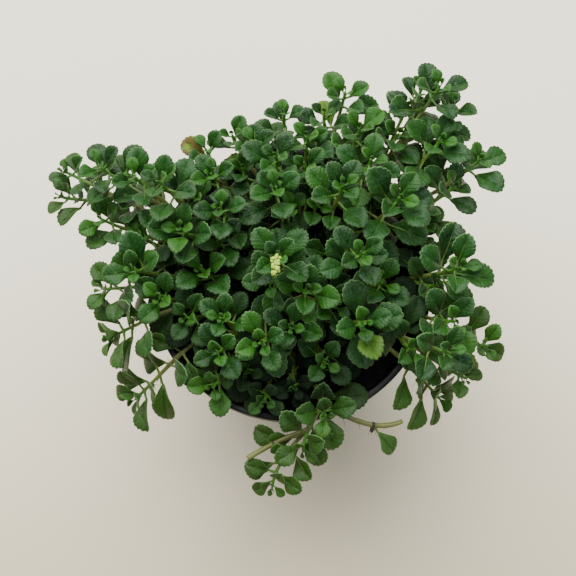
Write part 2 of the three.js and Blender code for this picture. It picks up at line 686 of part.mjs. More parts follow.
function plantMeshes(paths, leaves) {
  const solids = new Map();
  paths.forEach((path, number) => {
    const own = leaves.filter((leaf) => leaf.number === number && leaf.k > 0);
    const solid = shootSolid(path, own, SHOOTS[number][5]);
    const stem = solids.get(familyOf(number));
    solids.set(familyOf(number), stem ? stem.add(solid) : solid);
  });
  const flowering = numberOf("flowering");
  for (let i = 0; i < FLORETS; i += 1)
    solids.set(flowering, solids.get(flowering).add(floretSolid(paths[flowering], i)));
  return [...solids].map(([family, solid]) =>
    meshOf(`shoot_${SHOOTS[family][0]}`, solid, LEAF_GREEN, 0.35),
  );
}

function cylinderAt(x, y, low, high, radius, facets) {
  const geometry = new THREE.CylinderGeometry(radius, radius, high - low, facets);
  geometry.rotateX(Math.PI / 2);
  geometry.translate(x, y, (low + high) / 2);
  return solidOf(geometry);
}

function turned(profile, facets) {
  const outline = profile.map(([r, z]) => new THREE.Vector2(r, z));
  const geometry = new THREE.LatheGeometry(outline, facets);
  geometry.rotateX(Math.PI / 2);
  return geometry;
}

// Outer radius of the wall just under the lip, and of the foot's corner.
const LIP_FROM = POT_HEIGHT - LIP_DROP;
const NECK_RADIUS = wallRadius(LIP_FROM) - LIP_STEP;
const HEEL_RADIUS = BASE_RADIUS - LIP_STEP;

function potSolid() {
  const inside = RIM_RADIUS - LIP_WIDTH;
  const profile = [
    [0, 0],
    [BASE_RADIUS - FOOT_STEP - 1, 0],
    [BASE_RADIUS - FOOT_STEP, 1],
    [wallRadius(FOOT_HEIGHT) - FOOT_STEP, FOOT_HEIGHT],
    [wallRadius(FOOT_HEIGHT) - LIP_STEP, FOOT_HEIGHT + EDGE],
    [NECK_RADIUS, LIP_FROM],
    [RIM_RADIUS - LIP_STEP, LIP_FROM + EDGE],
    [RIM_RADIUS, POT_HEIGHT - EDGE],
    [RIM_RADIUS - EDGE, POT_HEIGHT],
    [inside + EDGE, POT_HEIGHT],
    [inside, POT_HEIGHT - EDGE],
    [NECK_RADIUS - WALL, LIP_FROM],
    [HEEL_RADIUS - WALL, FLOOR],
    [0, FLOOR],
  ];
  let pot = solidOf(turned(profile, POT_FACETS));
  for (let i = 0; i < DRAINS; i += 1) {
    const angle = (2 * Math.PI * i) / DRAINS;
    const [x, y] = [DRAIN_CIRCLE * Math.cos(angle), DRAIN_CIRCLE * Math.sin(angle)];
    pot = pot.subtract(cylinderAt(x, y, -1, FLOOR + 1, DRAIN_RADIUS, DRAIN_FACETS));
  }
  return pot;
}

const clods = (x, y) =>
  CLOD_HEIGHT * (0.6 * Math.sin(0.35 * x + 1) * Math.cos(0.31 * y) + 0.4 * Math.sin(0.8 * x + 0.6 * y));

function soilSolid(paths) {
  const profile = [
    [0, FLOOR + SOIL_GAP],
    [HEEL_RADIUS - WALL - SOIL_GAP, FLOOR + SOIL_GAP],
    [NECK_RADIUS - WALL - SOIL_GAP, SOIL_TOP - SOIL_DROP],
    ...SOIL_RINGS.map((r) => [r, SOIL_TOP]),
    [0, SOIL_TOP],
  ];
  const geometry = turned(profile, POT_FACETS);
  const position = geometry.attributes.position;
  for (let i = 0; i < position.count; i += 1) {
    const [x, y, z] = [position.getX(i), position.getY(i), position.getZ(i)];
    if (z === SOIL_TOP) position.setZ(i, z + clods(x, y));
  }
  return paths.reduce((soil, path, number) => {
    return SHOOTS[number][5].on ? soil : soil.subtract(holeSolid(path.foot));
  }, solidOf(geometry));
}

// A hole round the straight lowest stretch of a stem.
function holeSolid({ rings: [low, high], turn }) {
  const radius = STEM_RADIUS + HOLE_GAP;
  const point = mixed([low.point, 1], [low.direction, -SOIL_GAP]);
  const points = [
    ...ringPoints({ ...low, point, radius }, turn),
    ...ringPoints({ ...high, radius }, turn),
  ];
  const faces = [[0, 2, 1], [0, 3, 2], [4, 5, 6], [4, 6, 7]];
  for (let j = 0; j < STEM_SIDES; j += 1) {
    const next = (j + 1) % STEM_SIDES;
    faces.push([j, next, next + STEM_SIDES], [j, next + STEM_SIDES, j + STEM_SIDES]);
  }
  return solidFrom(points, faces);
}

const paths = stemPaths();
const plant = new THREE.Group();
plant.add(...plantMeshes(paths, grownLeaves(paths)));

const potted = new THREE.Group();
potted.add(meshOf("pot", potSolid(), POT_BLACK, 0.45));
potted.add(meshOf("soil", soilSolid(paths), SOIL_BROWN, 0.95));
potted.add(plant);

export default potted;
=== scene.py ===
"""Potted creeping pilea: round scalloped leaves on standing and trailing stems in a black pot.

Lengths are worked out in millimetres and put into the meshes in metres. The origin is the
centre of the pot's base, +Z is up and the front of the photograph is at -Y.
"""

import json
import math

import bpy
import numpy as np
from bpy.props import FloatProperty, FloatVectorProperty, IntProperty, PointerProperty
from bpy.types import Operator, Panel, PropertyGroup
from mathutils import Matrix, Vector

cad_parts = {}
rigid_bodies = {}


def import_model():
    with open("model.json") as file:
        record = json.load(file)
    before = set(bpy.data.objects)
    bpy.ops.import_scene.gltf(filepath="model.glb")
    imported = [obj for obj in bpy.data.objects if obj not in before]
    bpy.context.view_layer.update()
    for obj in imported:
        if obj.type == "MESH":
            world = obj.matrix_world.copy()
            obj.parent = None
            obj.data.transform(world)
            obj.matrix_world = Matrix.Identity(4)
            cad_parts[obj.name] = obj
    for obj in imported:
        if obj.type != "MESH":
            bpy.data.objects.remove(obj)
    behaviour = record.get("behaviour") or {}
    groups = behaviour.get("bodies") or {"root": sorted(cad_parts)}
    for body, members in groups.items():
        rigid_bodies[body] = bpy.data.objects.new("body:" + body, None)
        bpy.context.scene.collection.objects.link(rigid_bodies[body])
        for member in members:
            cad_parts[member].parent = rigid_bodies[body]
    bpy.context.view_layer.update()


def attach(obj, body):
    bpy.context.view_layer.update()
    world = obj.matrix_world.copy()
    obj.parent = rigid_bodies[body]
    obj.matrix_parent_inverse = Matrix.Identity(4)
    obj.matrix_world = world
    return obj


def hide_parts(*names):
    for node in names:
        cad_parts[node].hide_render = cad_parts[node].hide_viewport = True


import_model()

bl_info = {
    "name": "Potted creeping pilea",
    "version": (1, 0, 0),
    "blender": (4, 5, 0),
    "location": "3D View > Sidebar > Pilea",
    "description": "Builds a small-leaved creeping pilea in its nursery pot",
    "category": "Add Mesh",
}

MM = 0.001
TURN = 2 * math.pi
UP = np.array([0.0, 0.0, 1.0])

# Pot and soil, in millimetres
POT_HEIGHT = 100.0
RIM_RADIUS = 60.0
BASE_RADIUS = 42.0
LIP_WIDTH = 3.0
SOIL_TOP = 91.0
ROOT_DEPTH = 5.0
POT_WALL = 1.5
LIP_DROP = 9.0
NECK_STEP = 0.4
POT_FLOOR = 2.0
SOIL_GAP = 0.45

# Camera: its angle above the horizon, its distance in millimetres from the point it looks at,
# and how far that point lies to the right of the rim's middle and above it in the picture
CAMERA_ELEVATION = math.radians(76)
CAMERA_DISTANCE = 500.0
CAMERA_ASIDE = (-1.279, -2.984)

# Stems
STEM_RADIUS = 1.05
BRANCH_RADIUS = 0.85
TIP_RADIUS = 0.62
PATH_STEPS = 80
BUD_LENGTH = 2.4
BUD_WIDEST = 0.4
ROOT_CIRCLE = 47.0
ROOT_SPREAD = 62.0
ROOT_LIMIT = 50.0
ROOT_SHIFT = 1.2
ROOT_SHIFT_STEP = 0.7
FORK_STEP = 1.5
FORK_BURIED = 3.5
STEM_TRIES = 12
UPRIGHT_LEAN = 8.0
LEAN_PER_MM = 0.42
LEAN_FROM = 12.0
TRAILING_LEAN = 45.0
TRAILING_RISE = 34.0
ROOT_PULL = 0.45
FORK_PULL = 0.35
TIP_PULL = 0.36
TRAILING_PULL = 0.62
TRAILING_BELOW = POT_HEIGHT + 8
TRAILING_PAST = RIM_RADIUS - 2

# Leaves, for each node counted back from the tip: gap along the stem, length against the
# largest leaf, and angle away from the stem. The last value holds for every older node.
NODE_GAPS = [0.6, 1.3, 2.2, 3.4, 5.0, 6.5, 7.5, 8.0]
NODE_GROWTH = [0.34, 0.64, 0.95, 1.14, 1.22, 1.28]
NODE_SPREAD = [18, 38, 56, 68, 75, 80]
BLADE_LENGTH_HALF = 0.5
BLADE_WIDTH_HALF = 0.41
BLADE_CENTRE = 0.52
BLADE_ARCH = 0.3
BLADE_CUP = 0.4
CUP_VARIES = 0.3
TURN_VARIES = 22
SPREAD_VARIES = 14
SIZE_VARIES = 0.16
ROLL_VARIES = 0.35
LEAF_LIFT = 0.12
PETIOLE_LEAST = 0.8
PETIOLE_SHARE = 0.1
PETIOLE_GROWTH = 0.07
PETIOLE_GROWN = 4
STEM_LIGHT = 1.6
BLADE_LIGHT = 0.35
YOUNG_LIGHT = 0.15
BUD_ANGLE = 10
LEAST_ANGLE = 45

# Pairs below those of the table, then side shoots in the gaps: the height at which gaps are
# looked for, how far from the rim, the grid of spots, the room that is left open, a leaf's
# radius as a share of its length, the heights of their tips, how near and how far the stem
# that they fork off may be, and their largest leaf
OLDER_PAIRS = 3
FILL_HEIGHT = 110.0
FILL_EDGE = 3.0
FILL_GRID = 2.5
FILL_TRIES = 120
FILL_ROOM = 1.2
FILL_LEAF = 0.42
FILL_LOW = 103.0
FILL_HIGH = 119.0
FILL_NEAR = 6.0
FILL_REACH = 26.0
FILL_PARENTS = 4
FILL_LARGEST = 7.0
FILL_LARGEST_VARIES = 2.0
# Open places in the photographed plant where the soil shows: x, y and radius
BARE_SOIL = [
    (31, -40, 13), (44, -28, 8), (-19, -44, 6), (-45, -33, 8), (-37, -12, 7), (-17, -15, 6),
    (52, 6, 8), (0, -46, 5), (12, 14, 4), (-24, 26, 4), (40, 44, 5),
]

# Clearances, in millimetres, and the points at which a blade is tested
LEAF_CLEAR = 1.05
OWN_LEAF_CLEAR = 0.7
LEAF_MARGIN = 0.25
STEM_CLEAR = 2.6
STALK_CLEAR = 1.9
BLADE_CLEAR = 1.75
BLADE_MARGIN = 1.3
OWN_BLADE_CLEAR = 1.1
OWN_MARGIN = 0.4
OWN_STEM_FREE = 2.4
RIM_CLEAR = 1.6
WALL_CLEAR = 3.2
WALL_INSIDE = 1.5
WALL_OUTSIDE = 2.0
SOIL_CLEAR = 2.0
EDGE_POINTS = 12
INNER_POINTS = 6
INNER_SHARE = 0.55
NEAR = 15.0

# Turn in degrees, change of spread in degrees and scale that a leaf tries, one after another,
# until it is clear of what has grown before it.
TRIES = [
    (0, 0, 1), (12, 0, 1), (-12, 0, 1), (0, -12, 1), (0, 10, 1), (20, -8, 0.93), (-20, -8, 0.93),
    (32, 0, 0.88), (-32, 0, 0.88), (0, -24, 0.88), (16, -24, 0.84), (-16, -24, 0.84),
    (0, 24, 0.88), (42, -10, 0.78), (-42, -10, 0.78), (0, -36, 0.76), (24, 18, 0.76),
    (-24, 18, 0.76),
]

# One row for each shoot: name, tip, turn of its youngest leaves, largest leaf, leaf pairs, and
# what differs from the rule. A shoot with `on` forks off that stem, `back` from its tip. A `cut`
# shoot has lost its tip and keeps its oldest pair at most, or with `one` a single leaf of it.
SHOOTS = [
    ("back_right_1", (62, 75, 134), 20, 10.5, 8, {}),
    ("back_right_2", (56, 79, 124), 70, 9, 3, {"on": "back_right_1", "back": 22}),
    ("back_right_3", (69, 70, 124), 160, 9.5, 4, {"on": "back_right_1", "back": 30}),
    ("back_right_4", (62, 52, 132), 60, 11, 5, {}),
    ("back_right_5", (79, 46, 124), 30, 11, 5, {}),
    ("back_right_6", (69, 36, 120), 45, 10.5, 5, {}),
    ("back_right_7", (50, 72, 120), 45, 9, 4, {}),
    ("back_1", (23, 76, 126), 20, 9.5, 5, {}),
    ("back_2", (14, 68, 122), 60, 9, 4, {"on": "back_1", "back": 24}),
    ("back_3", (29, 59, 128), 40, 11.5, 4, {}),
    ("back_4", (45, 57, 126), 80, 11.5, 4, {}),
    ("back_5", (-3, 67, 124), 10, 8.5, 5, {}),
    ("back_6", (7, 56, 126), 50, 11, 4, {}),
    ("back_7", (-6, 43, 138), 60, 10, 4, {}),
    ("back_8", (-16, 53, 126), 30, 9.5, 5, {}),
    ("back_9", (-25, 59, 120), 80, 8.5, 4, {"on": "back_8", "back": 20}),
    ("back_10", (-36, 52, 122), 40, 9, 5, {}),
    ("back_11", (-33, 38, 130), 15, 9, 4, {"on": "back_10", "back": 26}),
    ("back_12", (-20, 43, 124), 70, 9, 4, {}),
    ("middle_1", (44, 25, 138), 60, 12, 4, {}),
    ("middle_2", (56, 21, 116), 30, 9.5, 4, {}),
    ("middle_3", (21, 28, 145), 122, 9.5, 4, {}),
    ("middle_4", (33, 42, 136), 70, 10, 4, {}),
    ("middle_5", (-6, 28, 142), 20, 10, 4, {}),
    ("middle_6", (6, 40, 134), 50, 9, 4, {}),
    ("middle_7", (0, 23, 130), 10, 9, 4, {"on": "middle_5", "back": 26}),
    ("middle_8", (11, 25, 128), 80, 9, 4, {"on": "middle_6", "back": 22}),
    ("middle_9", (-29, 22, 134), 5, 10, 4, {}),
    ("middle_10", (-40, 29, 126), 60, 9, 4, {"on": "middle_9", "back": 24}),
    ("middle_11", (-45, 14, 132), 80, 10.5, 4, {}),
    ("middle_12", (-29, 13, 126), 30, 9.5, 4, {"on": "middle_11", "back": 26}),
    ("middle_13", (-37, -1, 122), 40, 12, 4, {}),
    ("middle_14", (-54, -12, 118), 55, 12, 4, {}),
    ("middle_15", (-21, 7, 112), 15, 9, 4, {}),
    ("flowering", (-6, -2, 146), 45, 9.5, 5, {}),
    ("middle_16", (-9, -8, 128), 10, 9.5, 4, {"on": "flowering", "back": 28}),
    ("middle_17", (6, -13, 136), 75, 10, 4, {}),
    ("middle_18", (18, -17, 126), 40, 10, 4, {"on": "middle_17", "back": 24}),
    ("middle_19", (19, 6, 126), 85, 9.5, 4, {}),
    ("middle_20", (28, 0, 144), 30, 9.5, 4, {}),
    ("middle_21", (38, -7, 124), 60, 11, 4, {}),
    ("middle_22", (29, -26, 132), 20, 12, 4, {}),
    ("front_1", (-12, -34, 134), 20, 9.5, 4, {}),
    ("front_2", (0, -27, 130), 70, 9, 4, {}),
    ("front_3", (-30, -36, 124), 30, 9.5, 4, {}),
    ("front_4", (-28, -22, 126), 75, 9, 4, {"on": "front_3", "back": 24}),
    ("front_5", (-43, -20, 118), 50, 10, 4, {}),
    ("front_6", (-32, -48, 114), 10, 9.5, 5, {}),
    ("front_7", (-18, -42, 112), 60, 9, 4, {"on": "front_6", "back": 20}),
    ("front_8", (-11, -54, 112), 58, 7.5, 4, {}),
    ("front_9", (14, -39, 118), 55, 9, 4, {}),
    ("front_10", (1, -48, 110), 25, 8, 4, {}),
    ("front_11", (14, -59, 110), 5, 12, 4, {}),
    ("front_12", (5, -73, 101), 35, 10.5, 5, {"on": "front_11", "back": 9, "lean": 95}),
    ("front_13", (-8, -87, 89), 60, 9, 4, {"on": "front_12", "back": 12, "lean": 110}),
    ("front_cut_left", (-18, -75, 98), 0, 9, 0,
     {"on": "front_12", "back": 10, "cut": True, "lean": 92, "toward": 212}),
    ("front_cut_right", (46, -60, 101), 315, 9, 5,
     {"on": "front_11", "back": 9, "cut": True, "one": True, "lean": 86, "toward": 24,
      "light": 0.8}),
    ("right_1", (69, -1, 126), 85, 12, 4, {}),
    ("right_2", (60, -6, 116), 40, 9, 4, {"on": "right_1", "back": 26}),
    ("right_3", (67, -22, 120), 35, 11, 4, {}),
    ("right_4", (63, -37, 130), 70, 9.5, 5, {}),
    ("right_5", (50, -34, 120), 30, 9, 4, {"on": "right_4", "back": 28}),
    ("right_6", (82, -30, 108), 60, 9, 4, {"on": "right_3", "back": 24}),
    ("right_7", (64, -49, 86), 30, 11, 5, {"lean": 140, "light": 0.8}),
    ("right_8", (73, -43, 104), 75, 9.5, 4, {"on": "right_4", "back": 30, "lean": 70}),
    ("left_1", (-97, 46, 110), 20, 8.5, 8, {"lean": 78, "toward": 155}),
    ("left_2", (-100, 37, 102), 60, 8.5, 4, {"on": "left_1", "back": 24, "lean": 88, "toward": 170}),
    ("left_3", (-81, 44, 124), 45, 10, 5, {}),
    ("left_4", (-65, 37, 130), 10, 9.5, 5, {}),
    ("left_5", (-54, 33, 136), 70, 10, 4, {}),
    ("left_6", (-81, 24, 114), 26, 9.5, 6, {}),
    ("left_7", (-80, -5, 106), 60, 10, 5, {}),
    ("left_8", (-65, 0, 120), 15, 11.5, 4, {}),
    ("left_9", (-76, -24, 98), 50, 11.5, 5, {"lean": 125, "light": 0.9}),
    ("left_10", (-67, -49, 86), 32, 10.5, 6, {"lean": 125, "light": 0.9}),
    ("left_11", (-63, 15, 116), 40, 10, 4, {}),
]


def chance(*keys):
    """Fixed number from 0 to 1 for a set of whole numbers, by rounds of xor, product, shift."""
    x = 0x9E3779B9
    for key in keys:
        x = (x ^ ((key + 1) * 0x85EBCA6B)) & 0xFFFFFFFF
        x = ((x ^ (x >> 15)) * 0x2C1B3C6D) & 0xFFFFFFFF
        x = ((x ^ (x >> 12)) * 0x297A2D39) & 0xFFFFFFFF
        x ^= x >> 15
    return x / 2**32


def unit(vector):
    return vector / math.sqrt(float(vector @ vector))


def across(vector, axis):
    """The unit part of a vector at right angles to an axis."""
    return unit(vector - axis * (vector @ axis))


def held(values, index):
    return values[min(index, len(values) - 1)]


def bent(start, middle, end, t):
    """Points of the quadratic arc from start to end that is drawn towards the middle."""
    return (1 - t) ** 2 * start + 2 * t * (1 - t) * middle + t * t * end


def wall_radius(z):
    return BASE_RADIUS + (RIM_RADIUS - BASE_RADIUS) * z / POT_HEIGHT


def camera_place(elevation, distance):
    """The point that the camera looks at and the camera's own place, in millimetres."""
    right, above = CAMERA_ASIDE
    up = np.array([0, math.sin(elevation), math.cos(elevation)])
    aim = np.array([right, 0, POT_HEIGHT]) + up * above
    return aim, aim + np.array([0, -math.cos(elevation), math.sin(elevation)]) * distance


# Paths of the stems


def number_of(name):
    return next(i for i, row in enumerate(SHOOTS) if row[0] == name)


def is_trailing(tip):
    return tip[2] < TRAILING_BELOW and math.hypot(tip[0], tip[1]) > TRAILING_PAST


def tip_direction(tip, more):
    reach = math.hypot(tip[0], tip[1])
    by_site = UPRIGHT_LEAN + LEAN_PER_MM * max(0.0, reach - LEAN_FROM)
    by_site += TRAILING_LEAN if is_trailing(tip) else 0
    lean = math.radians(more.get("lean", by_site))
    toward = math.radians(more["toward"]) if "toward" in more else math.atan2(tip[1], tip[0])
    out = math.sin(lean)
    return np.array([out * math.cos(toward), out * math.sin(toward), math.cos(lean)])


def root_point(tip, number, attempt):
    """The tip's place drawn in towards the middle by a tanh curve, plus a small shift."""
    reach = math.hypot(tip[0], tip[1])
    drawn = ROOT_CIRCLE * math.tanh(reach / ROOT_SPREAD) / reach
    shift = ROOT_SHIFT + ROOT_SHIFT_STEP * attempt
    angle = TURN * chance(number, attempt, 71)
    x = tip[0] * drawn + shift * math.cos(angle)
    y = tip[1] * drawn + shift * math.sin(angle)
    inside = min(1.0, ROOT_LIMIT / math.hypot(x, y))
    return np.array([x * inside, y * inside, SOIL_TOP - ROOT_DEPTH])


class Stem:
    """A stem's path: a cubic Bezier curve sampled evenly in its parameter, with its lengths."""

    def __init__(self, row, number, attempt, stems):
        tip, more = row[1], row[5]
        parent = stems[number_of(more["on"])] if "on" in more else more.get("parent")
        self.row, self.number, self.forked = row, number, parent is not None
        self.family = parent.family if parent else number
        end = np.array(tip, float)
        heading = tip_direction(tip, more)
        if parent:
            start, along = parent.at(more["back"] + FORK_STEP * attempt)
            span = math.dist(end, start)
            leaving = unit(along + across(end - start, along))
            first = start + leaving * (FORK_PULL * span)
            second = end - heading * (TIP_PULL * span)
        else:
            start = root_point(tip, number, attempt)
            span = math.dist(end, start)
            low = is_trailing(tip) or more.get("cut", False)
            first = start + UP * (ROOT_DEPTH + TRAILING_RISE if low else ROOT_PULL * span)
            second = end - heading * ((TRAILING_PULL if low else TIP_PULL) * span)
        t = np.linspace(0, 1, PATH_STEPS + 1)[:, None]
        s = 1 - t
        self.points = s**3 * start + 3 * s * s * t * first + 3 * s * t * t * second + t**3 * end
        steps = np.linalg.norm(np.diff(self.points, axis=0), axis=1)
        self.lengths = np.concatenate([[0], np.cumsum(steps)])
        self.total = float(self.lengths[-1])
        self.thick = BRANCH_RADIUS if parent else STEM_RADIUS
        buried = FORK_BURIED if parent else ROOT_DEPTH - 1
        point, direction = self.at(0)
        beyond = BUD_LENGTH * np.array([BUD_WIDEST, 0.7, 1])
        all_points = np.vstack([self.points, point + beyond[:, None] * direction])
        all_at = np.concatenate([self.lengths, self.total + beyond])
        self.open = all_points[all_at > buried]
        self.open_at = all_at[all_at > buried]

    def place(self, distance):
        return np.stack(
            [np.interp(distance, self.lengths, self.points[:, i]) for i in range(3)], axis=-1
        )

    def at(self, back):
        """Point and direction at a distance back from the tip."""
        distance = self.total - back
        return self.place(distance), unit(self.place(distance + 0.8) - self.place(distance - 0.8))

    def wall_clearance(self):
        reach = np.hypot(self.open[:, 0], self.open[:, 1])
        aside = np.abs(reach - wall_radius(self.open[:, 2]) + LIP_WIDTH / 3)
        over = self.open[:, 2] - POT_HEIGHT - RIM_CLEAR
        return float(np.where(aside < WALL_CLEAR, over, NEAR).min())


def distances(points, others):
    return np.linalg.norm(points[:, None] - others[None], axis=2)


def best_stem(row, number, stems, tries):
    """The first try that clears all other families' stems and the rim, or else the nearest."""
    best, best_score = None, None
    for attempt in range(tries):
        stem = Stem(row, number, attempt, stems)
        others = [other.open for other in stems if other.family != stem.family]
        gap = float(distances(stem.open, np.vstack(others)).min()) if others else NEAR
        score = min(gap, NEAR) - STEM_CLEAR
        score = min(score, stem.wall_clearance())
        if best is None or score > best_score:
            best, best_score = stem, score
        if score > 0:
            break
    return best, best_score


def grow_stems():
    stems = []
    for number, row in enumerate(SHOOTS):
        stems.append(best_stem(row, number, stems, STEM_TRIES)[0])
    return stems


# Placing the leaves


def node_depth(k):
    return sum(held(NODE_GAPS, i) for i in range(k + 1))


def kept_off(heading, stem, k):
    """A leaf's direction, kept at an open angle to its stem."""
    along = float(heading @ stem)
    limit = math.cos(math.radians(LEAST_ANGLE if k > 0 else BUD_ANGLE))
    if abs(along) <= limit:
        return heading
    side = across(heading, stem)
    return stem * math.copysign(limit, along) + side * math.sqrt(1 - limit * limit)


class Leaf:
    """A leaf's frame: d along the blade, v across it, n out of its upper face."""

    def __init__(self, stem, k, side, attempt):
        turned, opened, scale = attempt
        name, _, turn, largest, _, more = stem.row
        self.number, self.k, self.side, self.name = stem.number, k, side, name

        def draw(what):
            return self.chance(what) - 0.5

        point, direction = stem.at(node_depth(k))
        axis = unit(direction + UP * more.get("light", STEM_LIGHT))
        first = across(np.array([1.0, 0, 0]), axis)
        second = np.cross(axis, first)
        phi = math.radians(turn + 90 * k + 180 * side + TURN_VARIES * draw(1) + turned)
        outward = first * math.cos(phi) + second * math.sin(phi)
        theta = math.radians(held(NODE_SPREAD, k) + SPREAD_VARIES * draw(2) + opened)
        heading = axis * math.cos(theta) + outward * math.sin(theta)
        heading = unit(heading + UP * (LEAF_LIFT if k > 1 else 0))
        d = kept_off(heading, direction, k)
        length = largest * held(NODE_GROWTH, k) * scale * (1 + SIZE_VARIES * draw(3))
        to_light = BLADE_LIGHT if k > 1 else YOUNG_LIGHT
        raw = (axis * math.sin(theta) - outward * math.cos(theta)) * (1 - to_light)
        level = across(raw + UP * to_light, d)
        n = across(level + np.cross(level, d) * (ROLL_VARIES * draw(4)), d)
        share = PETIOLE_SHARE + PETIOLE_GROWTH * min(k, PETIOLE_GROWN)
        self.point, self.stem_direction = point, direction
        self.d, self.n, self.v = d, n, np.cross(n, d)
        self.length = length
        self.petiole = share * length + PETIOLE_LEAST
        self.cup = BLADE_CUP + CUP_VARIES * draw(5)
        self.a, self.b = BLADE_LENGTH_HALF * length, BLADE_WIDTH_HALF * length
        rise = BLADE_ARCH * BLADE_CENTRE**2 * length
        self.centre = point + d * (self.petiole + BLADE_CENTRE * length) + n * rise
        self.frame = np.stack([d, self.v, n], axis=1)

    def chance(self, what):
        return chance(self.number, self.k, self.side, what)

    def edge_points(self):
        """The blade's edge, its middle, a ring inside and two points on the petiole."""
        rows = [np.zeros((1, 2))]
        for count, share in ((EDGE_POINTS, 1.0), (INNER_POINTS, INNER_SHARE)):
            angle = TURN * np.arange(count) / count
            rows.append(share * np.stack([self.a * np.cos(angle), self.b * np.sin(angle)], 1))
        x, y = np.vstack(rows).T
        z = (self.cup * y * y - BLADE_ARCH * x * x) / self.length
        blade = self.centre + np.stack([x, y, z], 1) @ self.frame.T
        foot = self.point + self.d * self.petiole
        return blade, np.stack([foot, (self.point + foot) / 2])


def touches(points, centres, frames, shape, half, margin):
    """Which points lie within `half` of a blade's surface and inside its outline.

    Each argument may hold many leaves at once; shape is length, a, b and cup for each.
    """
    local = (points - centres) @ frames
    x, y, z = local[..., 0], local[..., 1], local[..., 2]
    length, a, b, cup = shape
    off = np.abs(z - (cup * y * y - BLADE_ARCH * x * x) / length)
    return (off < half) & ((x / (a + margin)) ** 2 + (y / (b + margin)) ** 2 < 1)


def hits_pot(points):
    past = np.hypot(points[:, 0], points[:, 1]) - wall_radius(points[:, 2])
    z = points[:, 2]
    beside = (past > -LIP_WIDTH - WALL_INSIDE) & (past < WALL_OUTSIDE)
    near_wall = (z < POT_HEIGHT + RIM_CLEAR) & beside
    near_soil = (past < 0) & (z < SOIL_TOP + SOIL_CLEAR)
    return bool((near_wall | near_soil | (z < RIM_CLEAR)).any())


class Canopy:
    """All leaves grown so far, kept as arrays so that a new one is tested against all."""

    def __init__(self, stems):
        self.stems, self.leaves = [], []
        self.points, self.centres, self.frames, self.shapes, self.numbers = [], [], [], [], []
        self.add_stems(stems)

    def add_stems(self, stems):
        self.stems = self.stems + stems
        self.stem_points = np.vstack([stem.open for stem in self.stems])
        self.stem_numbers = np.concatenate([[s.number] * len(s.open) for s in self.stems])
        self.stem_at = np.concatenate([stem.open_at for stem in self.stems])

    def is_clear(self, leaf, blade, petiole):
        if hits_pot(blade):
            return False
        own_shape = (leaf.length, leaf.a, leaf.b, leaf.cup)
        points = np.vstack([blade, petiole])
        if self.leaves:
            centres = np.array(self.centres)
            near = np.linalg.norm(centres - leaf.centre, axis=1) <= NEAR
            if near.any():
                numbers = np.array(self.numbers)[near]
                half = np.where(numbers == leaf.number, OWN_LEAF_CLEAR, LEAF_CLEAR)[:, None]
                shape = [column[near][:, None] for column in np.array(self.shapes).T]
                theirs = np.array(self.points)[near]
                frames = np.array(self.frames)[near]
                if touches(points[None], centres[near][:, None], frames, shape, half,
                           LEAF_MARGIN).any():
                    return False
                if touches(theirs, leaf.centre, leaf.frame, own_shape, half, LEAF_MARGIN).any():
                    return False
        own = self.stem_numbers == leaf.number
        node = self.stems[leaf.number].total - node_depth(leaf.k)
        away = own & (np.abs(self.stem_at - node) > OWN_STEM_FREE)
        if touches(self.stem_points[away], leaf.centre, leaf.frame, own_shape, OWN_BLADE_CLEAR,
                   OWN_MARGIN).any():
            return False
        others = self.stem_points[~own]
        if (distances(petiole, others) < STALK_CLEAR).any():
            return False
        return not touches(others, leaf.centre, leaf.frame, own_shape, BLADE_CLEAR,
                           BLADE_MARGIN).any()

    def grow_pair(self, stem, k):
        """Grows both leaves of a node where there is room, and counts them."""
        found = 0
        for side in (0,) if stem.row[5].get("one") else (0, 1):
            for attempt in TRIES:
                leaf = Leaf(stem, k, side, attempt)
                blade, petiole = leaf.edge_points()
                if self.is_clear(leaf, blade, petiole):
                    self.leaves.append(leaf)
                    self.points.append(np.vstack([blade, petiole]))
                    self.centres.append(leaf.centre)
                    self.frames.append(leaf.frame)
                    self.shapes.append((leaf.length, leaf.a, leaf.b, leaf.cup))
                    self.numbers.append(leaf.number)
                    found += 1
                    break
        return found


def grow_leaves(stems):
    """The youngest pairs of all shoots take their places first, then the next pairs down."""
    canopy = Canopy(stems)
    for older in (0, OLDER_PAIRS):
        for k in range(max(row[4] for row in SHOOTS) + older):
            for stem in stems:
                pairs, more = stem.row[4], stem.row[5]
                bare = stem.total - (3 if stem.forked else ROOT_DEPTH + 4)
                of_table = 0 <= k < pairs and not (more.get("cut") and k < pairs - 1)
                below = older and pairs <= k < pairs + older and not more.get("cut")
                if node_depth(k) <= bare and (below or (of_table and not older)):
                    canopy.grow_pair(stem, k)
    return canopy


# Low side shoots that fill the canopy


def seen_from_above(points):
    """Where the line from the camera through each point meets the filling height."""
    eye = np.round(camera_place(CAMERA_ELEVATION, CAMERA_DISTANCE)[1], 1)
    share = (FILL_HEIGHT - eye[2]) / (points[:, 2] - eye[2])
    return (eye + (points - eye) * share[:, None])[:, :2]


def fill_canopy(canopy):
    """Adds side shoots one by one at the spot that is farthest from any leaf seen above it."""
    grid = np.arange(-RIM_RADIUS, RIM_RADIUS + 1, FILL_GRID)
    x, y = (side.ravel() for side in np.meshgrid(grid, grid))
    spots = np.stack([x, y], 1)
    inside = np.hypot(x, y) < RIM_RADIUS - FILL_EDGE
    for centre_x, centre_y, radius in BARE_SOIL:
        inside &= np.hypot(x - centre_x, y - centre_y) > radius
    spots = spots[inside]
    free = np.ones(len(spots), bool)
    for _ in range(FILL_TRIES):
        leaves = seen_from_above(np.array(canopy.centres))
        radii = FILL_LEAF * np.array(canopy.shapes)[:, 0]
        room = (distances(spots, leaves) - radii).min(axis=1)
        room[~free] = -NEAR
        best = int(room.argmax())
        if room[best] < FILL_ROOM:
            break
        free &= np.hypot(*(spots - spots[best]).T) > FILL_GRID
        add_side_shoot(canopy, spots[best])


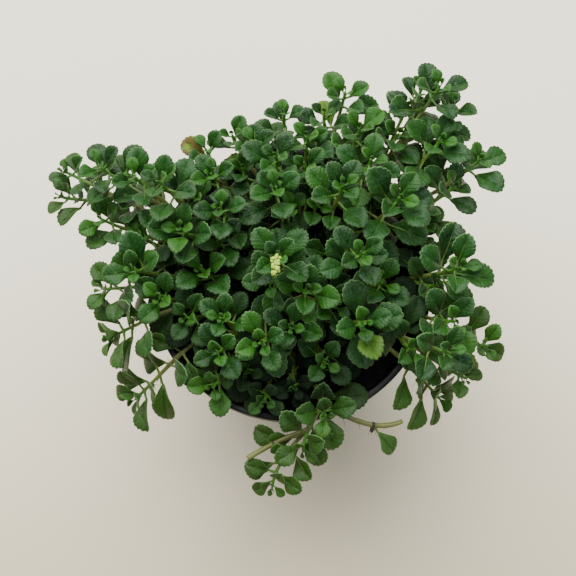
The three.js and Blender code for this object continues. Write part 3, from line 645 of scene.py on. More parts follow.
def add_side_shoot(canopy, spot):
    """A low shoot with its tip at the spot, forking off the nearest stem that is in reach."""
    number = len(canopy.stems)
    height = FILL_LOW + (FILL_HIGH - FILL_LOW) * chance(number, 41)
    tip = np.array([*spot, height])
    table = canopy.stems[: len(SHOOTS)]
    offers = []
    for parent in table:
        gap = np.linalg.norm(parent.points - tip, axis=1)
        low = (parent.points[:, 2] > SOIL_TOP + 3) & (parent.points[:, 2] < height - 3)
        gap = np.where(low & (gap > FILL_NEAR), gap, np.inf)
        at = int(gap.argmin())
        if gap[at] < FILL_REACH and not parent.row[5].get("cut"):
            offers.append((gap[at], parent, parent.total - parent.lengths[at]))
    offers.sort(key=lambda offer: offer[0])
    for _, parent, back in offers[:FILL_PARENTS]:
        largest = FILL_LARGEST + FILL_LARGEST_VARIES * chance(number, 42)
        row = ("side", tuple(tip), 90 * chance(number, 43), largest, 4,
               {"parent": parent, "back": float(back)})
        stem, score = best_stem(row, number, canopy.stems, 2)
        if score > 0:
            canopy.add_stems([stem])
            for k in range(5):
                if node_depth(k) < stem.total - 3:
                    canopy.grow_pair(stem, k)
            return


# Meshes


def add_object(name, data):
    made = bpy.data.objects.new(name, data)
    bpy.context.scene.collection.objects.link(made)
    return made


class Form:
    """Gathers shells into one mesh: corners in millimetres, faces, finishes and attributes.

    Every face also gets a place of its own on the mesh's flat map: a cell number and its
    corners' places inside that cell.
    """

    def __init__(self):
        self.verts, self.faces, self.slots, self.cells, self.flat = [], [], [], [], []
        self.marks = {}
        self.pattern = []
        self.count = 0
        self.cell_count = 0

    def add(self, verts, shells, marks=None, pattern=(0.5, 0.5)):
        """verts is (n, 3); shells is a list of (faces, slot, cell of each face, flat map)."""
        verts = np.asarray(verts, float)
        for faces, slot, cell, flat in shells:
            self.faces.append(faces + self.count)
            self.slots.append(np.full(len(faces), slot))
            self.cells.append(self.cell_count + np.broadcast_to(cell, len(faces)))
            self.flat.append(flat)
        self.cell_count = int(max(c.max() for c in self.cells[-len(shells):])) + 1
        for name, values in (marks or {}).items():
            self.marks.setdefault(name, []).append(np.broadcast_to(values, len(verts)))
        self.pattern.append(np.broadcast_to(pattern, (len(verts), 2)))
        self.verts.append(verts)
        self.count += len(verts)

    def build(self, name, finishes):
        verts = np.vstack(self.verts) * MM
        corners = np.concatenate([faces.ravel() for faces in self.faces]).astype(np.int32)
        sizes = np.concatenate([np.full(len(f), f.shape[1]) for f in self.faces]).astype(np.int32)
        mesh = bpy.data.meshes.new(name)
        mesh.vertices.add(len(verts))
        mesh.vertices.foreach_set("co", verts.ravel())
        mesh.loops.add(len(corners))
        mesh.loops.foreach_set("vertex_index", corners)
        mesh.polygons.add(len(sizes))
        starts = (np.cumsum(sizes) - sizes).astype(np.int32)
        mesh.polygons.foreach_set("loop_start", starts)
        mesh.polygons.foreach_set("material_index", np.concatenate(self.slots).astype(np.int32))
        mesh.polygons.foreach_set("use_smooth", np.ones(len(sizes), bool))
        for mark, values in self.marks.items():
            layer = mesh.attributes.new(mark, "FLOAT", "POINT")
            layer.data.foreach_set("value", np.concatenate(values).astype(np.float32))
        layer = mesh.uv_layers.new(name="pattern")
        layer.data.foreach_set("uv", np.vstack(self.pattern)[corners].ravel())
        across_cells = math.ceil(math.sqrt(self.cell_count))
        cell = np.repeat(np.concatenate(self.cells), sizes)
        flat = np.concatenate([f.reshape(-1, 2) for f in self.flat])
        corner = np.stack([cell % across_cells, cell // across_cells], axis=1)
        layer = mesh.uv_layers.new(name="OFBake")
        layer.data.foreach_set("uv", ((corner + 0.04 + 0.92 * flat) / across_cells).ravel())
        mesh.update(calc_edges=True)
        mesh.validate()
        for finish in finishes:
            mesh.materials.append(finish)
        return add_object(name, mesh)


def grid_faces(rows, columns, closed):
    """Quads of a grid of rows x columns corners; closed joins the last column to the first."""
    wide = columns if closed else columns - 1
    i = np.arange(rows - 1)[:, None]
    j = np.arange(wide)[None, :]
    k = (j + 1) % columns
    a, b, c, e = i * columns + j, i * columns + k, (i + 1) * columns + k, (i + 1) * columns + j
    faces = np.stack([a, b, c, e], axis=-1).reshape(-1, 4)
    u0, u1, v0, v1 = j / wide, (j + 1) / wide, i / (rows - 1), (i + 1) / (rows - 1)
    u0, u1, v0, v1 = np.broadcast_arrays(u0, u1, v0, v1)
    flat = np.stack([np.stack(p, -1) for p in ((u0, v0), (u1, v0), (u1, v1), (u0, v1))], axis=-2)
    return faces, flat.reshape(-1, 4, 2)


def fan_faces(hub, ring, turned=False):
    """Triangles from a hub corner to a closed ring of corners."""
    ring = np.asarray(ring)
    after = np.roll(ring, -1)
    hubs = np.full(len(ring), hub)
    order = (hubs, after, ring) if turned else (hubs, ring, after)
    angle = TURN * np.arange(len(ring) + 1) / len(ring)
    rim = 0.5 + 0.5 * np.stack([np.cos(angle), np.sin(angle)], 1)
    middle = np.full((len(ring), 2), 0.5)
    places = (middle, rim[1:], rim[:-1]) if turned else (middle, rim[:-1], rim[1:])
    return np.stack(order, 1), np.stack(places, 1)


def frames_along(points):
    """Directions of a path and two unit vectors across it that turn with it least."""
    direction = np.gradient(points, axis=0)
    direction /= np.linalg.norm(direction, axis=1)[:, None]
    first = np.empty_like(direction)
    start = np.array([1.0, 0, 0]) if abs(direction[0][0]) < 0.9 else np.array([0, 1.0, 0])
    for i, along in enumerate(direction):
        start = across(start, along)
        first[i] = start
    return direction, first, np.cross(direction, first)


def add_tube(form, points, radii, sides, slot, marks=None, profile=None, segment=12):
    """A round rod: at each path point a ring of corners at its radius, with both ends closed.

    profile, if given, is a (rings, sides) factor on the radius. `segment` rings share one
    cell of the flat map.
    """
    points = np.asarray(points, float)
    _, first, second = frames_along(points)
    angle = TURN * np.arange(sides) / sides
    radii = np.broadcast_to(radii, len(points))[:, None] * (1 if profile is None else profile)
    rings = (
        points[:, None]
        + (radii * np.cos(angle))[..., None] * first[:, None]
        + (radii * np.sin(angle))[..., None] * second[:, None]
    )
    count = len(points)
    verts = np.vstack([rings.reshape(-1, 3), points[:1], points[-1:]])
    faces, flat = grid_faces(count, sides, True)
    row = np.repeat(np.arange(count - 1), sides)
    cell = row // segment
    flat = flat.copy()
    flat[..., 1] = (flat[..., 1] * (count - 1) - (cell * segment)[:, None]) / segment
    flat[..., 1] = np.clip(flat[..., 1], 0, 1)
    low, low_flat = fan_faces(count * sides, np.arange(sides), turned=True)
    high, high_flat = fan_faces(count * sides + 1, np.arange(sides) + (count - 1) * sides)
    top = int(cell.max())
    own = {}
    for name, values in (marks or {}).items():
        values = np.broadcast_to(values, count)
        own[name] = np.concatenate([np.repeat(values, sides), values[:1], values[-1:]])
    ends = [(low, slot, top + 1, low_flat), (high, slot, top + 2, high_flat)]
    form.add(verts, [(faces, slot, cell, flat), *ends], own)


# Blades

# How finely a blade is made, by its length in millimetres: rings on its upper face and under
# it, as shares of the way to the edge, corners to a tooth, and corners along its toothless foot.
# A leaf of a low side shoot is made as finely as one of this share of its length.
SIDE_FINENESS = 0.6
BLADE_FINE = {
    7.5: ([0.34, 0.66, 0.9], [0.7], 4, 10),
    4.5: ([0.4, 0.84], [0.6], 4, 8),
    0.0: ([0.6], [0.6], 3, 6),
}
# Shorter leaves than the first length have 7 teeth, longer ones than the second 9 or 11
FEW_TEETH_LENGTH = 4.5
MANY_TEETH_LENGTH = 7.5
TOOTHED_TO = 1.75
BLADE_THICK = 0.42
EDGE_THICK = 0.16


def teeth_of(leaf):
    if leaf.length < FEW_TEETH_LENGTH:
        return 7
    return 9 if leaf.chance(6) < 0.5 or leaf.length < MANY_TEETH_LENGTH else 11


def blade_angles(teeth, to_tooth, to_foot):
    """Angles round the blade from its tip: evenly spaced in each tooth, then along the base."""
    toothed = np.linspace(-TOOTHED_TO, TOOTHED_TO, teeth * to_tooth + 1)
    base = np.linspace(TOOTHED_TO, TURN - TOOTHED_TO, to_foot + 2)[1:-1]
    return np.concatenate([toothed, base])


def blade_outline(angle, teeth, depth, wave):
    """Outline as shares of the length: an ellipse, wedge-shaped at its foot, with round teeth.

    The radius is the ellipse's, times one plus the depth of the teeth, which follow the
    absolute sine of the tooth number and fade out before the foot. Towards the foot, by powers
    of minus the cosine of the angle, the half width shrinks and the blade runs down its stalk.
    """
    half_length, half_width = BLADE_LENGTH_HALF, BLADE_WIDTH_HALF
    radius = 1 / np.sqrt((np.cos(angle) / half_length) ** 2 + (np.sin(angle) / half_width) ** 2)
    from_tip = np.abs(np.where(angle > math.pi, angle - TURN, angle))
    tooth = np.abs(np.sin(math.pi * (angle + TOOTHED_TO) / (2 * TOOTHED_TO) * teeth))
    inside = np.clip((TOOTHED_TO - from_tip) / 0.5, 0, 1)
    radius = radius * (1 + inside * (depth * (tooth**0.6 - 0.7)) + wave * np.sin(2 * angle + 1))
    foot = np.clip(-np.cos(angle), 0, 1)
    radius = radius * (1 + 0.26 * foot**8)
    narrow = (1 - 0.55 * foot**1.25) * (1 + 0.03 * np.cos(angle))
    return radius * np.cos(angle), radius * np.sin(angle) * narrow


def blade_height(x, y, share, angle, leaf, teeth, settings):
    """Height of the blade's middle layer: a saddle folded along the midrib, with two pillows.

    The fold rises evenly with the distance from the midrib, the pillows follow the sine of the
    way from midrib to edge, the midrib lies in a narrow bell-shaped groove, the side veins in
    shallow cosine ones, and the edge turns down. x and y are millimetres from the blade's
    middle and share runs from 0 there to 1 at the edge.
    """
    length = leaf.length
    fold = settings.fold * (0.25 + 2.6 * leaf.chance(10) ** 2)
    saddle = (leaf.cup * y * y - BLADE_ARCH * x * x) / length + fold * (np.abs(y) - 0.12 * length)
    fade = np.clip(0.75 - x / length, 0, 1)
    half = np.sqrt(np.clip(1 - (x / leaf.a) ** 2, 0, 1)) * leaf.b
    out = np.clip(np.abs(y) / np.maximum(half, 0.1), 0, 1)
    pillow = settings.pillow * np.sin(math.pi * out**0.8) * half / leaf.b
    midrib = np.exp(-((y / (0.05 * length)) ** 2)) * fade
    vein = np.cos(TURN * (angle + TOOTHED_TO) / (2 * TOOTHED_TO) * teeth)
    veins = vein * share * (1 - share) * 2
    roll = share**5 * (0.02 + 0.02 * np.sin(3 * angle + 7 * chance(leaf.number, leaf.k, 8)))
    return saddle + length * (pillow - settings.quilting * (midrib + 0.1 * veins) - roll)


def add_blade(form, leaf, settings, slots, marks):
    """Closed blade: rings from the middle to the edge on top, back to the middle below."""
    teeth = teeth_of(leaf)
    seen = leaf.length * (SIDE_FINENESS if leaf.name == "side" else 1)
    fineness = BLADE_FINE[max(least for least in BLADE_FINE if seen >= least)]
    top_rings, under_rings, to_tooth, to_foot = fineness
    angle = blade_angles(teeth, to_tooth, to_foot)
    around = len(angle)
    depth = settings.tooth_depth * (0.8 + 0.5 * leaf.chance(7))
    wave = 0.03 * (leaf.chance(9) - 0.5)
    out_x, out_y = blade_outline(angle, teeth, depth, wave)
    share = np.array([*top_rings, 1.0, *under_rings])[:, None]
    x, y = share * out_x * leaf.length, share * out_y * leaf.length
    z = blade_height(x, y, share, angle, leaf, teeth, settings)
    grown = 0.55 + 0.45 * min(1, leaf.length / 9)
    thick = (EDGE_THICK + (BLADE_THICK - EDGE_THICK) * (1 - share**4)) * grown
    sign = np.array([0.5] * len(top_rings) + [0] + [-0.5] * len(under_rings))[:, None]
    z = z + thick * sign
    middle = float(blade_height(0.0, 0.0, 0.0, 0.0, leaf, teeth, settings))
    half = BLADE_THICK * grown / 2
    hub = np.array([[0, 0, middle + half], [0, 0, middle - half]])
    local = np.vstack([np.stack([x, y, z], -1).reshape(-1, 3), hub])
    verts = leaf.centre + local @ leaf.frame.T
    rings = len(share)
    faces, _ = grid_faces(rings, around, True)
    faces = faces[:, ::-1]
    upper = len(top_rings) * around
    top, under = faces[:upper], faces[upper:]
    top_hub, under_hub = rings * around, rings * around + 1
    top_fan, _ = fan_faces(top_hub, np.arange(around))
    under_fan, _ = fan_faces(under_hub, np.arange(around) + (rings - 1) * around, True)
    place = 0.5 + local[:, :2] / (1.2 * leaf.length)
    mirrored = place * [1, -1] + [0, 1]
    edge = np.concatenate([np.repeat(share[:, 0], around), [0, 0]])
    form.add(
        verts,
        [
            (top, slots[0], 0, place[top]),
            (top_fan, slots[0], 0, place[top_fan]),
            (under, slots[1], 1, mirrored[under]),
            (under_fan, slots[1], 1, mirrored[under_fan]),
        ],
        {**marks, "edge": edge},
        0.5 + local[:, :2] / leaf.length,
    )


def add_petiole(form, leaf, settings, slot, marks):
    """Stalk from the stem, bent into the blade's foot, then a low rib under the blade."""
    grown = min(1.0, leaf.length / 9)
    x = leaf.length * np.array([-0.6, -0.42, -0.15, 0.2])
    fade = np.clip(0.75 - x / leaf.length, 0, 1)
    z = -BLADE_ARCH * x * x / leaf.length - settings.quilting * leaf.length * fade
    z = z - BLADE_THICK * grown * np.array([0.1, 0.5, 0.5, 0.45])
    rib = leaf.centre + np.stack([x, 0 * x, z], 1) @ leaf.frame.T
    start, end = leaf.point, rib[0]
    bend = (start + end) / 2 + leaf.stem_direction * (0.06 * leaf.petiole)
    t = np.linspace(0, 1, 5)[:-1, None]
    points = np.vstack([bent(start, bend, end, t), rib])
    radii = grown * np.array([0.75, 0.62, 0.56, 0.52, 0.46, 0.3, 0.22, 0.05])
    add_tube(form, points, radii, 6 if leaf.length > 6 else 5, slot, marks, segment=7)


def add_stem(form, stem, slot, marks):
    """Round stem: radius tapering from root to tip, swollen at each node, with fine ribs."""
    count = max(8, int(stem.total / 1.1))
    at = np.linspace(0, stem.total, count)
    back = stem.total - at
    cut = stem.row[5].get("cut", False)
    thick = STEM_RADIUS if cut else 1.2 * stem.thick
    radius = TIP_RADIUS + (thick - TIP_RADIUS) * np.clip((back + 30 * cut) / stem.total, 0, 1)
    depth, k = node_depth(0), 0
    while depth < stem.total - 2:
        swell = 0.16 if k > 2 else 0.08
        radius = radius * (1 + swell * np.exp(-(((back - depth) / 0.75) ** 2)))
        k += 1
        depth = node_depth(k)
    if not cut:
        radius = radius * np.clip(back / 1.6, 0.35, 1)
    sides = 10
    angle = TURN * np.arange(sides) / sides
    ribs = 1 + 0.05 * np.cos(2 * angle[None] + 0.25 * at[:, None])
    own = {**marks, "edge": at / stem.total, "age": np.clip(back / 34 + 0.7 * cut, 0, 1)}
    add_tube(form, stem.place(at), radius, sides, slot, own, profile=ribs)


# Finishes


class Socket:
    """A value or colour in a material, so that shader maths reads as plain expressions."""

    def __init__(self, finish, link):
        self.finish, self.link = finish, link

    def maths(self, operation, *others):
        return self.finish.maths(operation, self, *others)

    def __add__(self, other):
        return self.maths("ADD", other)

    __radd__ = __add__

    def __sub__(self, other):
        return self.maths("SUBTRACT", other)

    def __rsub__(self, other):
        return self.finish.maths("SUBTRACT", other, self)

    def __mul__(self, other):
        return self.maths("MULTIPLY", other)

    __rmul__ = __mul__

    def __abs__(self):
        return self.maths("ABSOLUTE")

    def fraction(self):
        return self.maths("FRACT")

    def ramp(self, start, end, low=0.0, high=1.0):
        """Smooth step from low to high as the value goes from start to end."""
        inputs = (self, float(start), float(end), float(low), float(high))
        settings = {"interpolation_type": "SMOOTHSTEP"}
        return self.finish.node("ShaderNodeMapRange", settings, inputs)


class Finish:
    """A material under construction, with the one method that makes every node."""

    def __init__(self, name):
        self.material = bpy.data.materials.new(name)
        self.material.use_nodes = True
        self.tree = self.material.node_tree
        self.shader = next(n for n in self.tree.nodes if n.type == "BSDF_PRINCIPLED")
        self.next_place = 0

    def node(self, kind, settings=None, inputs=(), out=0):
        """Makes a node, sets it up, gives its sockets values or links, returns one output."""
        node = self.tree.nodes.new(kind)
        node.location = (-220 - 190 * (self.next_place // 8), 300 - 170 * (self.next_place % 8))
        self.next_place += 1
        for key, value in (settings or {}).items():
            setattr(node, key, value)
        pairs = inputs.items() if isinstance(inputs, dict) else enumerate(inputs)
        for key, value in pairs:
            self.join(value, node.inputs[key])
        return Socket(self, node.outputs[out])

    def join(self, value, socket):
        if isinstance(value, Socket):
            self.tree.links.new(value.link, socket)
        elif socket.type == "RGBA":
            socket.default_value = (*value[:3], 1)
        else:
            socket.default_value = value

    def maths(self, operation, *inputs):
        return self.node("ShaderNodeMath", {"operation": operation}, inputs)

    def mix(self, factor, first, second):
        settings = {"data_type": "RGBA", "clamp_factor": True}
        return self.node("ShaderNodeMix", settings, {0: factor, 6: first, 7: second}, 2)

    def layered(self, colour, *coats):
        """The colour under coats of (share, colour), each laid over all before it."""
        for share, coat in coats:
            colour = self.mix(share, colour, coat)
        return colour

    def attributes(self, *names):
        kind = "ShaderNodeAttribute"
        return [self.node(kind, {"attribute_name": name}, (), "Fac") for name in names]

    def pattern(self):
        return self.node("ShaderNodeUVMap", {"uv_map": "pattern"})

    def place(self):
        return self.node("ShaderNodeTexCoord", None, (), "Object")

    def split(self, vector):
        made = self.node("ShaderNodeSeparateXYZ", None, (vector,)).link.node
        return [Socket(self, output) for output in made.outputs]

    def noise(self, where, scale, detail=3.0, rough=0.55):
        inputs = {"Vector": where, "Scale": scale, "Detail": detail, "Roughness": rough}
        return self.node("ShaderNodeTexNoise", None, inputs, "Fac")

    def cells(self, where, scale):
        return self.node("ShaderNodeTexVoronoi", None, {"Vector": where, "Scale": scale}, "Distance")

    def finish(self, colour, rough, relief=None, **constant):
        """Links what varies to the shader and sets what is the same all over on its sockets.

        relief holds a height, the strength of its bump and the bump's depth in millimetres.
        """
        self.join(colour, self.shader.inputs["Base Color"])
        self.join(rough, self.shader.inputs["Roughness"])
        if relief:
            height, strength, depth = relief
            inputs = {"Strength": strength, "Distance": depth * MM, "Height": height}
            self.join(self.node("ShaderNodeBump", None, inputs), self.shader.inputs["Normal"])
        for key, value in constant.items():
            name = key.replace("_", " ").title().replace("Ior", "IOR")
            self.join(value, self.shader.inputs[name])
        return self.material


def blade_veins(finish):
    """Lines of the midrib and the side veins, and the pillows between them, from 0 to 1."""
    along, over, _ = finish.split(finish.pattern())
    off = abs(over - 0.5)
    midrib = off.ramp(0.006, 0.022, 1, 0) * along.ramp(0.95, 0.6)
    order = ((along - off * 0.8) * 6.0).fraction()
    aside = abs(order - 0.5) * 2
    side = aside.ramp(0.0, 0.2, 1, 0) * off.ramp(0.012, 0.05) * off.ramp(0.4, 0.22)
    pillow = aside.ramp(0.0, 0.8)
    return midrib, side, pillow


def leaf_upper_finish(settings):
    finish = Finish("leaf_upper")
    tone, age, edge, wilt, deep = finish.attributes("tone", "age", "edge", "wilt", "deep")
    midrib, side, pillow = blade_veins(finish)
    where = finish.place()
    _, _, high = finish.split(where)
    blotch = finish.noise(where, 150.0)
    speck = finish.noise(where, 1100.0, 4.0, 0.65)
    grain = finish.cells(finish.pattern(), 22.0)
    # Painted sheen: pale blue-green speckles laid into the colour stand in for the soft highlight on
    # the quilted leaves
    sheen = finish.noise(where, 620.0, 3.0, 0.7).ramp(0.54, 0.66) * blotch.ramp(0.62, 0.45)
    dried = wilt.ramp(0.75, 1.0) * finish.noise(where, 260.0, 2.0).ramp(0.45, 0.55)
    colour = finish.layered(
        settings.young_colour,
        (age.ramp(0.0, 0.5), settings.leaf_colour),
        (tone.ramp(0.5, 1.0) * 0.85, settings.dark_colour),
        (tone.ramp(0.35, 0.05) * 0.7, settings.young_colour),
        (blotch.ramp(0.45, 0.7) * 0.25, settings.young_colour),
        # Pale specks: partly the leaf's own fine flecks, partly painted highlight glinting off the
        # quilting
        (speck.ramp(0.5, 0.68) * 0.65, settings.vein_colour),
        (high.ramp(0.124, 0.1) * 0.6, settings.sallow_colour),
        (sheen * 0.55, settings.sheen_colour),
        (side * 0.16 + midrib * 0.45, settings.vein_colour),
        # Painted shade: the creases between the small quilted cells are darkened, so the cells' tops
        # look lit
        (grain.ramp(0.1, 0.5) * 0.25, settings.dark_colour),
        (edge.ramp(0.92, 0.98) * 0.65, settings.margin_colour),
        (wilt.ramp(0.0, 0.8), settings.wilted_colour),
        # Painted shade: leaves low inside the canopy are darkened, as by the leaves above them
        (deep * 0.95, settings.shade_colour),
        (dried, settings.dried_colour),
    )
    height = pillow * 0.15 - midrib * 0.8 - side * 0.12 - grain * 0.3 + speck * 0.5
    rough = 0.27 + grain * 0.12 + speck * 0.2 + wilt * 0.2 + deep * 0.35
    return finish.finish(colour, rough, (height, 0.9, 0.35), specular_ior_level=0.25)


def leaf_under_finish(settings):
    finish = Finish("leaf_under")
    tone, age, edge, deep = finish.attributes("tone", "age", "edge", "deep")
    midrib, side, pillow = blade_veins(finish)
    where = finish.place()
    blotch = finish.noise(where, 220.0)
    colour = finish.layered(
        settings.young_colour,
        (age.ramp(0.0, 0.6), settings.under_colour),
        (tone * 0.15, settings.leaf_colour),
        # Painted shade: undersides of leaves low inside the canopy are darkened, as by the leaves above
        # them
        (deep * 0.8, settings.shade_colour),
        (blotch.ramp(0.35, 0.7) * 0.3, settings.vein_colour),
        (side * 0.25 + midrib * 0.6, settings.vein_colour),
        (edge.ramp(0.93, 0.985) * 0.4, settings.margin_colour),
    )
    height = side * 0.5 + midrib * 0.8 - pillow * 0.3 + finish.noise(where, 900.0) * 0.3
    return finish.finish(colour, 0.55 + blotch * 0.12, (height, 0.6, 0.25), specular_ior_level=0.3)


def stem_finish(settings):
    finish = Finish("stem")
    tone, age = finish.attributes("tone", "age")
    where = finish.place()
    streak = finish.noise(where, 420.0, 4.0)
    old = age.ramp(0.45, 1.0) * finish.noise(where, 90.0, 2.0).ramp(0.28, 0.48)
    colour = finish.layered(
        settings.young_colour,
        (age.ramp(0.05, 0.6), settings.stem_colour),
        (old * 0.8, settings.old_stem_colour),
        (streak.ramp(0.5, 0.75) * 0.35, settings.leaf_colour),
        (tone.ramp(0.55, 1.0) * 0.2, settings.leaf_colour),
    )
    return finish.finish(colour, 0.42 + streak * 0.2, (streak, 0.4, 0.2))


def rootlet_finish(settings):
    finish = Finish("rootlet")
    streak = finish.noise(finish.place(), 600.0, 3.0)
    colour = finish.mix(streak.ramp(0.5, 0.85), settings.rootlet_colour, settings.old_stem_colour)
    return finish.finish(colour, 0.7 + streak * 0.2, (streak, 0.4, 0.1))


def flower_finish(settings):
    finish = Finish("flower")
    cells = finish.cells(finish.place(), 1400.0)
    colour = finish.mix(cells.ramp(0.2, 0.9) * 0.5, settings.flower_colour, settings.young_colour)
    return finish.finish(colour, 0.5 + cells * 0.2, (cells, 0.5, 0.2))


def pot_finish(settings):
    finish = Finish("pot_plastic")
    where = finish.place()
    cloud = finish.noise(where, 45.0, 4.0)
    grain = finish.noise(where, 2200.0, 2.0)
    flattened = finish.node("ShaderNodeMapping", None, {"Vector": where, "Scale": (90, 90, 900)})
    scuff = finish.noise(flattened, 1.0, 3.0)
    _, _, high = finish.split(where)
    dust = cloud.ramp(0.45, 0.75) * 0.25 + high.ramp(0.094, 0.1) * 0.15
    colour = finish.mix(dust * 0.2, settings.colour, settings.dust_colour)
    rough = 0.34 + cloud * 0.16 + scuff.ramp(0.55, 0.75) * 0.12
    relief = (grain * 0.4 + scuff * 0.3, 0.25, 0.1)
    return finish.finish(colour, rough, relief, specular_ior_level=0.2)


def soil_finish(settings):
    finish = Finish("soil")
    where = finish.place()
    crumb = finish.cells(where, 520.0)
    mottle = finish.noise(where, 240.0, 6.0, 0.7)
    fine = finish.noise(where, 1600.0, 4.0, 0.7)
    (tone,) = finish.attributes("tone")
    colour = finish.layered(
        settings.dark_colour,
        (mottle.ramp(0.35, 0.7), settings.light_colour),
        (fine.ramp(0.6, 0.8) * 0.5, settings.fibre_colour),
        (tone * 0.5, settings.light_colour),
    )
    relief = (crumb * 0.6 + fine * 0.6, 0.9, 0.6)
    return finish.finish(colour, 0.82 + fine * 0.15, relief, specular_ior_level=0.2)


def fibre_finish(settings):
    finish = Finish("soil_fibre")
    streak = finish.noise(finish.place(), 700.0, 3.0)
    colour = finish.mix(streak.ramp(0.3, 0.7), settings.fibre_colour, settings.light_colour)
    return finish.finish(colour, 0.75 + streak * 0.2, (streak, 0.5, 0.1))


def floor_finish(settings):
    finish = Finish("pale_floor")
    where = finish.place()
    _, north, _ = finish.split(where)
    cloud = finish.noise(where, 6.0, 3.0)
    # Painted shade: the floor darkens and warms towards the front, standing in for the light that falls
    # off there
    nearer = (north + cloud * 0.05).ramp(0.16, -0.2)
    colour = finish.mix(nearer, settings.floor_colour, settings.floor_shade)
    return finish.finish(colour, 0.55 + cloud * 0.1)


# Settings


def colour_property(name, description, default):
    return FloatVectorProperty(
        name=name, description=description, default=default, subtype="COLOR", min=0, max=1
    )


def length_property(name, description, default):
    return FloatProperty(name=name, description=description, default=default, unit="LENGTH")


def share_property(name, description, default, most):
    return FloatProperty(
        name=name, description=description, default=default, min=0, max=most, subtype="FACTOR"
    )


def count_property(name, description, default):
    return IntProperty(name=name, description=description, default=default, min=0)


class PotSettings(PropertyGroup):
    """Sizes and colours of the pot."""

    wall: length_property("Wall", "Thickness of the pot's wall", POT_WALL * MM)
    lip_drop: length_property("Lip drop", "Height of the band below the rim", LIP_DROP * MM)
    foot_height: length_property("Foot height", "Height of the stepped foot", 0.005)
    foot_step: length_property("Foot step", "How far the foot is set in", 0.0012)
    drain_radius: length_property("Drain radius", "Radius of each drain hole", 0.004)
    drain_circle: length_property("Drain circle", "Radius of the circle of holes", 0.031)
    drains: count_property("Drains", "Number of drain holes", 8)
    colour: colour_property("Plastic", "Colour of the plastic", (0.003, 0.003, 0.0033))
    dust_colour: colour_property("Dust", "Colour of the dust on it", (0.03, 0.028, 0.025))


class SoilSettings(PropertyGroup):
    """Surface and colours of the soil."""

    crumbs: count_property("Crumbs", "Number of loose crumbs", 420)
    fibres: count_property("Fibres", "Number of pale fibres", 90)
    relief: length_property("Relief", "Height of the lumps", 0.0011)
    dark_colour: colour_property("Dark", "Colour of the wet peat", (0.0022, 0.002, 0.002))
    light_colour: colour_property("Light", "Colour of the drier peat", (0.009, 0.0075, 0.006))
    fibre_colour: colour_property("Fibre", "Colour of the fibres", (0.16, 0.11, 0.065))


class PlantSettings(PropertyGroup):
    """Relief and colours of leaves and stems."""

    tooth_depth: share_property("Tooth depth", "Depth of the scallops against the radius", 0.064, 0.3)
    pillow: share_property("Pillow", "Rise of each half blade against the length", 0.035, 0.15)
    quilting: share_property("Quilting", "Depth of the veins against the length", 0.028, 0.1)
    fold: share_property("Fold", "Mean slope of a blade's halves up from its midrib", 0.17, 0.5)
    leaf_colour: colour_property("Leaf", "Upper face of a grown leaf", (0.0065, 0.052, 0.0018))
    dark_colour: colour_property("Dark leaf", "Upper face of a dark leaf", (0.0018, 0.0165, 0.0012))
    young_colour: colour_property("Young leaf", "Youngest leaves", (0.034, 0.15, 0.004))
    vein_colour: colour_property("Veins", "Midrib and side veins", (0.032, 0.12, 0.024))
    margin_colour: colour_property("Margin", "Line along the edge", (0.13, 0.25, 0.08))
    shade_colour: colour_property("Shaded leaf", "Leaves deep inside", (0.001, 0.008, 0.0015))
    under_colour: colour_property("Underside", "Lower face", (0.14, 0.25, 0.07))
    sallow_colour: colour_property("Low leaf", "Leaves that hang low", (0.045, 0.1, 0.005))
    # Painted sheen: colour of the pale speckles that stand in for the leaves' highlight
    sheen_colour: colour_property("Sheen", "Pale speckles between the veins", (0.05, 0.14, 0.06))
    wilted_colour: colour_property("Wilted", "Leaves that turn colour", (0.085, 0.17, 0.01))
    dried_colour: colour_property("Dried", "Dried patches of wilted leaves", (0.1, 0.062, 0.012))
    stem_colour: colour_property("Stem", "Grown stem", (0.15, 0.19, 0.03))
    old_stem_colour: colour_property("Old stem", "Oldest stem", (0.085, 0.08, 0.018))
    rootlets: count_property("Rootlets", "Aerial roots at a node", 4)
    rootlet_colour: colour_property("Rootlet", "Aerial roots", (0.02, 0.012, 0.006))
    flower_colour: colour_property("Flower", "Florets", (0.46, 0.6, 0.07))


class StageSettings(PropertyGroup):
    """Floor, light and camera."""

    floor_colour: colour_property("Floor", "Colour of the floor", (0.99, 0.905, 0.71))
    floor_shade: colour_property("Floor shade", "The floor towards the front", (0.60, 0.50, 0.30))
    sky: FloatProperty(name="Sky", description="Strength of the even light", default=0.45)
    key: FloatProperty(name="Key", description="Power of the main light", default=68, unit="POWER")
    elevation: FloatProperty(
        name="Elevation", description="Camera's height above the horizon",
        default=CAMERA_ELEVATION, subtype="ANGLE",
    )
    distance: length_property("Distance", "Camera to the point it looks at", CAMERA_DISTANCE * MM)
    lens: FloatProperty(name="Lens", description="Focal length", default=73.31, unit="CAMERA")


# Pieces


def revolve(form, profile, sides, slot, marks=None):
    """Surface of revolution: each profile point (radius, height) swept round the Z axis."""
    profile = np.asarray(profile, float)
    angle = TURN * np.arange(sides) / sides
    inner = profile[1:-1]
    x = inner[:, 0, None] * np.cos(angle)
    y = inner[:, 0, None] * np.sin(angle)
    z = np.broadcast_to(inner[:, 1, None], x.shape)
    verts = np.vstack([np.stack([x, y, z], -1).reshape(-1, 3),
                       [[0, 0, profile[0, 1]], [0, 0, profile[-1, 1]]]])
    faces, flat = grid_faces(len(inner), sides, True)
    count = len(inner) * sides
    low, low_flat = fan_faces(count, np.arange(sides), turned=True)
    high, high_flat = fan_faces(count + 1, np.arange(sides) + count - sides)
    shells = [(faces, slot, 0, flat), (low, slot, 1, low_flat), (high, slot, 2, high_flat)]
    form.add(verts, shells, marks)
    return verts


